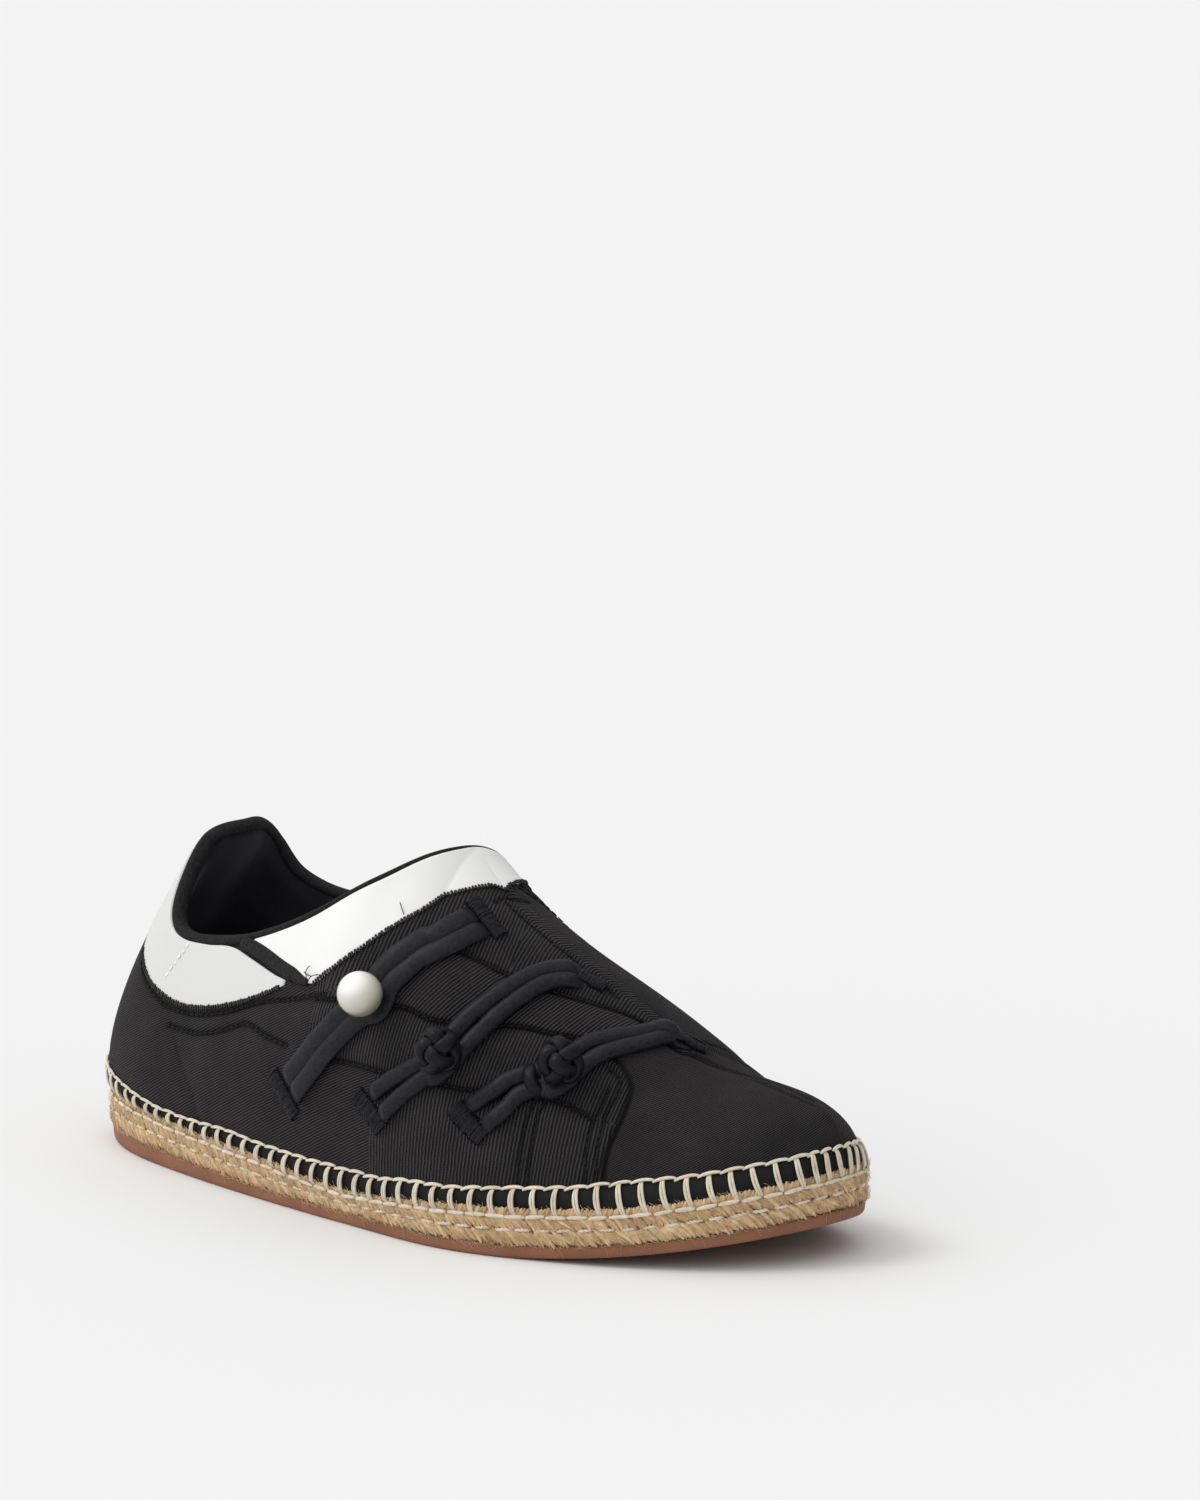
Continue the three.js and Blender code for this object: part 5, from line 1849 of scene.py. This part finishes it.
def moved(v, t, move):
    """The place reached from (v, t) by a small move over the surface."""
    h = 0.01
    along = (place(v + h, t) - place(v - h, t)) / (2 * h)
    up = (place(v, t + h) - place(v, t - h)) / (2 * h)
    aa, au, uu = along @ along, along @ up, up @ up
    ma, mu = move @ along, move @ up
    size = aa * uu - au * au
    return v + (ma * uu - mu * au) / size, t + (mu * aa - ma * au) / size


def beside(line, distances):
    """Points of (v, t) beside a centre line on the surface, with the distance to its side at each point."""
    result = []
    for i, (v, t) in enumerate(line):
        step = lying(*line[min(i + 1, len(line) - 1)]) - lying(*line[max(i - 1, 0)])
        side = unit(np.cross(step, normal(v, t)))
        result.append(np.array(moved(v, t, side * distances[i])))
    return result


def button_radius(frog):
    return (PEARL_DIAMETER if frog["pearl"] else KNOT_DIAMETER) / 2


def button_lift(frog):
    return button_radius(frog) + (PEARL_SHANK if frog["pearl"] else KNOT_SHANK)


def hairpin(frog):
    """The route of the cord that leaves the top bar, rounds the button's foot and comes back, as (v, t)."""
    v, t = frog["button"]
    out = normal(v, t)
    away = lying(*frog["loop"][0]) - lying(v, t)
    away = unit(away - out * (away @ out))
    side = np.cross(away, out)
    reach, half = frog["turn"]
    turn = []
    for share in np.linspace(-0.5, 0.5, 9):
        angle = math.pi * share
        around = away * (reach * MM * math.cos(angle)) + side * (half * MM * math.sin(angle))
        turn.append(np.array(moved(v, t, -around)))
    line = frog["loop"]
    near, far = frog["loop_half"]
    half = np.linspace(near, far, len(line)) * MM
    return beside(line, half)[::-1] + turn + beside(line, -half)


def tail_route(frog):
    """The hairpin below the button: its two ends spread towards the lower bar. As (v, t)."""
    line = [tuple(mix(np.array(frog["button"]), np.array(frog["tail"][0]), 0.5))] + frog["tail"]
    near, far = frog["tail_half"]
    half = mix(near, far, np.linspace(0, 1, len(line)) ** 1.5) * MM
    v, t = line[0]
    away = unit(lying(*line[1]) - lying(v, t))
    side = unit(np.cross(away, normal(v, t)))
    turn = []
    for share in (-0.3, 0, 0.3):
        angle = math.pi * share
        turn.append(np.array(moved(v, t, -half[0] * (away * math.cos(angle) + side * math.sin(angle)))))
    return beside(line, half)[::-1] + turn + beside(line, -half)


def make_wrap(name, frog, material):
    """A turn of cord over the tail beside the button."""
    v, t = frog["tail"][0]
    out = normal(v, t)
    away = unit(lying(*frog["tail"][1]) - lying(v, t))
    across = unit(np.cross(out, away))
    turn = np.linspace(-0.12, 1.12, 19) * math.pi
    foot = place(v, t, relief(v, t)) + away * WRAP_AT
    points = foot + across * (WRAP_RADIUS * np.cos(turn))[:, None]
    points = points + out * (WRAP_RADIUS * np.sin(turn))[:, None]
    points = points + away * (WRAP_SLANT * np.sin(turn))[:, None]
    ray = unit(points - foot)
    obj = tube(name, points, ray, KNOT_CORD_WIDTH, KNOT_CORD_HEIGHT, 14)
    return finish_piece(obj, material, "satin")


def make_cord(name, route, button, flat, material, *nodes):
    """A satin cord on the upper along a route of (v, t). Its ends sink and flatten under the bar."""
    route = np.array(route)
    start = place(route[:, 0], route[:, 1])
    path = resampled(np.concatenate([start, route], 1), 0.7 * MM)
    v, t = path[:, 3], path[:, 4]
    level = relief(v, t)
    weights = np.exp(-np.linspace(-2, 2, 13) ** 2)
    level = np.convolve(np.pad(level, 6, mode="edge"), weights / weights.sum(), mode="valid")
    gone = np.linalg.norm(path[:, :3] - place(*button), axis=1)
    level = np.minimum(level, relief(*button) + 0.22 * np.maximum(0, gone - 7 * MM))
    out = normal(v, t)
    run = np.concatenate([[0], np.cumsum(np.linalg.norm(np.diff(path[:, :3], axis=0), axis=1))])
    end = np.minimum(run, run[-1] - run)
    thick = mix(0.2, 1, smooth(1.2 * MM, 7 * MM, end))
    centre = place(v, t, level + 0.42 * CORD_DIAMETER * thick)
    swell = 1 + 0.03 * np.sin(run / (1.9 * MM)) * np.sin(run / (5.3 * MM))
    wide_share, tall_share = FLAT_CORD if flat else ROUND_CORD
    wide = CORD_DIAMETER * wide_share * swell * mix(0.45, 1, smooth(0.2 * MM, 4.5 * MM, end))
    obj = tube(name, centre, out, wide, CORD_DIAMETER * tall_share * thick, 18)
    return finish_piece(obj, material, "satin", *nodes)


def make_bar(name, ends, material, seed, width, *nodes):
    """Dense thread stitched over the cords' ends."""
    start, end = np.array(ends[0]), np.array(ends[1])
    share = np.linspace(0, 1, 12)
    v, t = mix(start[0], end[0], share), mix(start[1], end[1], share)
    points = place(v, t, relief(v, t) + 0.7 * MM)
    out = normal(v, t)
    obj = tube(name, points, out, width - 0.8 * MM, 2.6 * MM, 14)
    finish_piece(obj, material, "satin", *nodes)
    y = np.linspace(-0.5, 0.5, 9)
    rise = 1.6 * MM * np.sqrt(np.clip(1 - (2 * y) ** 2, 0, 1)) - 0.3 * MM
    arc = np.stack([0 * y, y * width, rise], 1)
    thread = tube("bar_thread_shape", arc, upright(9) + [0, 0.001, 0], 0.5 * MM, 0.45 * MM, 5)
    path = guide(f"{name}_thread_path", points, out, 1.0)
    piece = along_path(f"{name}_threads", path, thread, material, 0.44 * MM, 0.0, 0.07, 0.07 * MM, 0.09, seed)
    drop(thread)
    return finish_piece(piece, None, "satin")


def make_knot(name, centre, axis, material, *nodes):
    """A ball knot: one cord woven round a ball, three times round with four crossings at the crown."""
    core = KNOT_DIAMETER / 2 - 2.4 * MM
    tau = np.linspace(0, 2 * np.pi, 260, endpoint=False)
    down = math.radians(82) - math.radians(56) * np.cos(4 * tau)
    radius = core + 0.9 * MM * np.sin(8 * tau)
    side = unit(np.cross(axis, [0.3, 0.2, 1.0]))
    front = np.cross(axis, side)
    ray = (
        axis[None, :] * np.cos(down)[:, None]
        + side[None, :] * (np.sin(down) * np.cos(3 * tau))[:, None]
        + front[None, :] * (np.sin(down) * np.sin(3 * tau))[:, None]
    )
    points = centre + ray * radius[:, None]
    obj = tube(name, points, ray, KNOT_CORD_WIDTH, KNOT_CORD_HEIGHT, 14, closed=True)
    return finish_piece(obj, material, "satin", *nodes)


def ball(name, centre, radius, rows=32, around=64):
    """A closed ball as rings from pole to pole."""
    down = np.linspace(0, np.pi, rows + 1)[1:-1]
    turn = np.linspace(0, 2 * np.pi, around, endpoint=False)
    ring = np.stack(
        [
            np.outer(np.sin(down), np.cos(turn)),
            np.outer(np.sin(down), np.sin(turn)),
            np.outer(np.cos(down), np.ones(around)),
        ],
        -1,
    ).reshape(-1, 3)
    points = np.concatenate([ring, [[0, 0, 1], [0, 0, -1]]]) * radius + centre
    faces = []
    for i in range(rows - 2):
        for k in range(around):
            n = (k + 1) % around
            faces.append((i * around + k, (i + 1) * around + k, (i + 1) * around + n, i * around + n))
    north, south = len(ring), len(ring) + 1
    last = (rows - 2) * around
    for k in range(around):
        n = (k + 1) % around
        faces.append((north, k, n))
        faces.append((south, last + n, last + k))
    return new_mesh(name, points, faces)


def make_shank(name, centre, foot, axis, material):
    """The thread wound under a button."""
    share = np.linspace(0, 1, 6)[:, None]
    points = foot * (1 - share) + centre * share
    side = unit(np.cross(axis, [0.3, 0.2, 1.0]))
    obj = tube(name, points, np.repeat(side[None], 6, 0), SHANK_DIAMETER, SHANK_DIAMETER, 12)
    return finish_piece(obj, material, "satin")


def make_frogs(satin, satin_painted_shade, pearl):
    for k, frog in enumerate(FROGS):
        prefix = f"frog_{k + 1}"
        button, flat = frog["button"], frog["pearl"]
        make_cord(f"{prefix}_loop_cord", hairpin(frog), button, flat, satin, f"{prefix}_loop")
        make_cord(f"{prefix}_tail_cord", tail_route(frog), button, flat, satin, f"{prefix}_tail")
        top, low = frog["bar_width"]
        make_bar(f"{prefix}_top_stitching", frog["top_bar"], satin, 80 + k, top * MM, f"{prefix}_top_bar")
        make_bar(f"{prefix}_low_stitching", frog["low_bar"], satin, 90 + k, low * MM, f"{prefix}_low_bar")
        # The wrap and the knot take the darker satin copy, painted shade for the shade in their turns.
        if "wrap" in frog:
            make_wrap(f"{prefix}_wrap", frog, satin_painted_shade)
        v, t = button
        axis = normal(v, t)
        foot = place(v, t, relief(v, t) - 0.5 * MM)
        centre = place(v, t, relief(v, t) + button_lift(frog))
        make_shank(f"{prefix}_shank", centre, foot, axis, satin)
        if frog["pearl"]:
            finish_piece(ball("pearl_ball", centre, PEARL_DIAMETER / 2), pearl, "pearl", "pearl_button")
        else:
            make_knot(f"{prefix}_knot_ball", centre, axis, satin_painted_shade, f"knot_button_{k + 1}")


# The photograph's view of the shoe, worked out from its proportions: where the camera stands, which way it
# looks and its lens in millimetres.
VIEW_DISTANCE = 1.8
VIEW_TARGET = np.array([0.142, 0, 0.03])
STAND_TURN = math.radians(43)
STAND_RISE = math.radians(13)
LOOK_TURN = math.radians(41.60)
LOOK_DROP = math.radians(9.61)
LENS = 139.97


def direction(turn, rise):
    return np.array([math.sin(turn) * math.cos(rise), -math.cos(turn) * math.cos(rise), math.sin(rise)])


def make_camera():
    data = bpy.data.cameras.new("camera")
    data.lens = LENS
    data.sensor_width = 36
    data.clip_start = 0.05
    data.clip_end = 100
    camera = bpy.data.objects.new("camera", data)
    back = direction(LOOK_TURN, LOOK_DROP)
    right = np.array([math.cos(LOOK_TURN), math.sin(LOOK_TURN), 0])
    up = np.cross(back, right)
    place_at = VIEW_TARGET + VIEW_DISTANCE * direction(STAND_TURN, STAND_RISE) + ORIGIN
    turned = Matrix([right, up, back]).transposed().to_4x4()
    camera.matrix_world = Matrix.Translation(place_at) @ turned
    bpy.context.scene.collection.objects.link(camera)
    bpy.context.scene.camera = camera


# The soft studio light: brightest from the upper left of the view, dim from below and behind.
WORLD_LIGHT = 0.645
# The sun lamps: name, turn, rise, strength and spread. The angles are in degrees.
LAMPS = (
    ("key_light", -40, 55, 0.72, 25),
    ("fill_light", 95, 40, 0.14, 60),
)


def make_stage():
    floor = new_mesh("studio_floor", [(-20, -20, 0), (20, -20, 0), (20, 20, 0), (-20, 20, 0)], [(0, 1, 2, 3)])
    finish = Finish("studio floor", (0.86, 0.86, 0.86), 0.9, 0.0)
    floor.data.materials.append(finish.material)
    world = bpy.data.worlds.new("studio")
    world.use_nodes = True
    background = world.node_tree.nodes["Background"]
    background.inputs["Strength"].default_value = WORLD_LIGHT
    join = world.node_tree.links.new
    way = world.node_tree.nodes.new("ShaderNodeTexCoord")
    facing = world.node_tree.nodes.new("ShaderNodeVectorMath")
    facing.operation = "DOT_PRODUCT"
    facing.inputs[1].default_value = tuple(direction(math.radians(-40), math.radians(52)))
    join(way.outputs["Generated"], facing.inputs[0])
    fade = world.node_tree.nodes.new("ShaderNodeMapRange")
    fade.interpolation_type = "SMOOTHSTEP"
    fade.inputs["From Min"].default_value = -0.3
    fade.inputs["From Max"].default_value = 1.0
    fade.inputs["To Min"].default_value = 0.34
    fade.inputs["To Max"].default_value = 1.75
    join(facing.outputs["Value"], fade.inputs["Value"])
    join(fade.outputs["Result"], background.inputs["Color"])
    bpy.context.scene.world = world
    for name, turn, rise, strength, spread_angle in LAMPS:
        light = bpy.data.lights.new(name, "SUN")
        light.energy = strength
        light.angle = math.radians(spread_angle)
        lamp = bpy.data.objects.new(name, light)
        away = Vector(direction(math.radians(turn), math.radians(rise)))
        lamp.rotation_euler = away.to_track_quat("Z", "Y").to_euler()
        bpy.context.scene.collection.objects.link(lamp)
    view = bpy.context.scene.view_settings
    view.view_transform = "Standard"
    view.look = "None"


make_camera()
make_stage()
KNIT = ribbed_knit()
LINING = velvet_lining()
SMOOTH = smooth_white("smooth white", 0.69)
TAPE = charcoal_tape()
SATIN = black_satin("black satin", 0.0195)
# A darker copy of the same satin for the knots and the wrap: painted shade for the shade in their turns.
SATIN_PAINTED_SHADE = black_satin("satin with painted shade", 0.0105)
JUTE = fibre_finish("jute", (0.30, 0.17, 0.075), (0.94, 0.69, 0.41), 7.0)
JUTE_HAIR = fibre_finish("jute hair", (0.55, 0.38, 0.20), (0.85, 0.64, 0.40))
THREAD = fibre_finish("cream thread", (0.50, 0.42, 0.30), (0.93, 0.86, 0.73), 7.0, 0.8, 0.12)
TWINE = fibre_finish("white twine", (0.62, 0.55, 0.43), (0.94, 0.90, 0.80), 7.0, 0.85, 0.12)
CANVAS = black_canvas("black canvas")
SEWING = black_canvas("sewing thread", 0.004)
RUBBER = brown_rubber()
PEARL = ivory_pearl()

make_sole(RUBBER, JUTE, JUTE_HAIR, THREAD, TWINE, LINING)
make_upper(KNIT)
make_rand(CANVAS)
blanket_stitch(THREAD)
make_lining(LINING)
# The band takes a lighter copy of the smooth white than the heel panel: painted light where the band faces
# the light more.
make_front_band(smooth_white("smooth white band with painted light", 0.86))
make_heel_panel(SMOOTH)
make_binding(TAPE)
make_panel_strip(TAPE)
make_edges(KNIT)
make_row_stitches(SEWING)
make_loose_threads(SEWING)
make_panel_join(smooth_white("white thread", 0.88))
make_frogs(SATIN, SATIN_PAINTED_SHADE, PEARL)
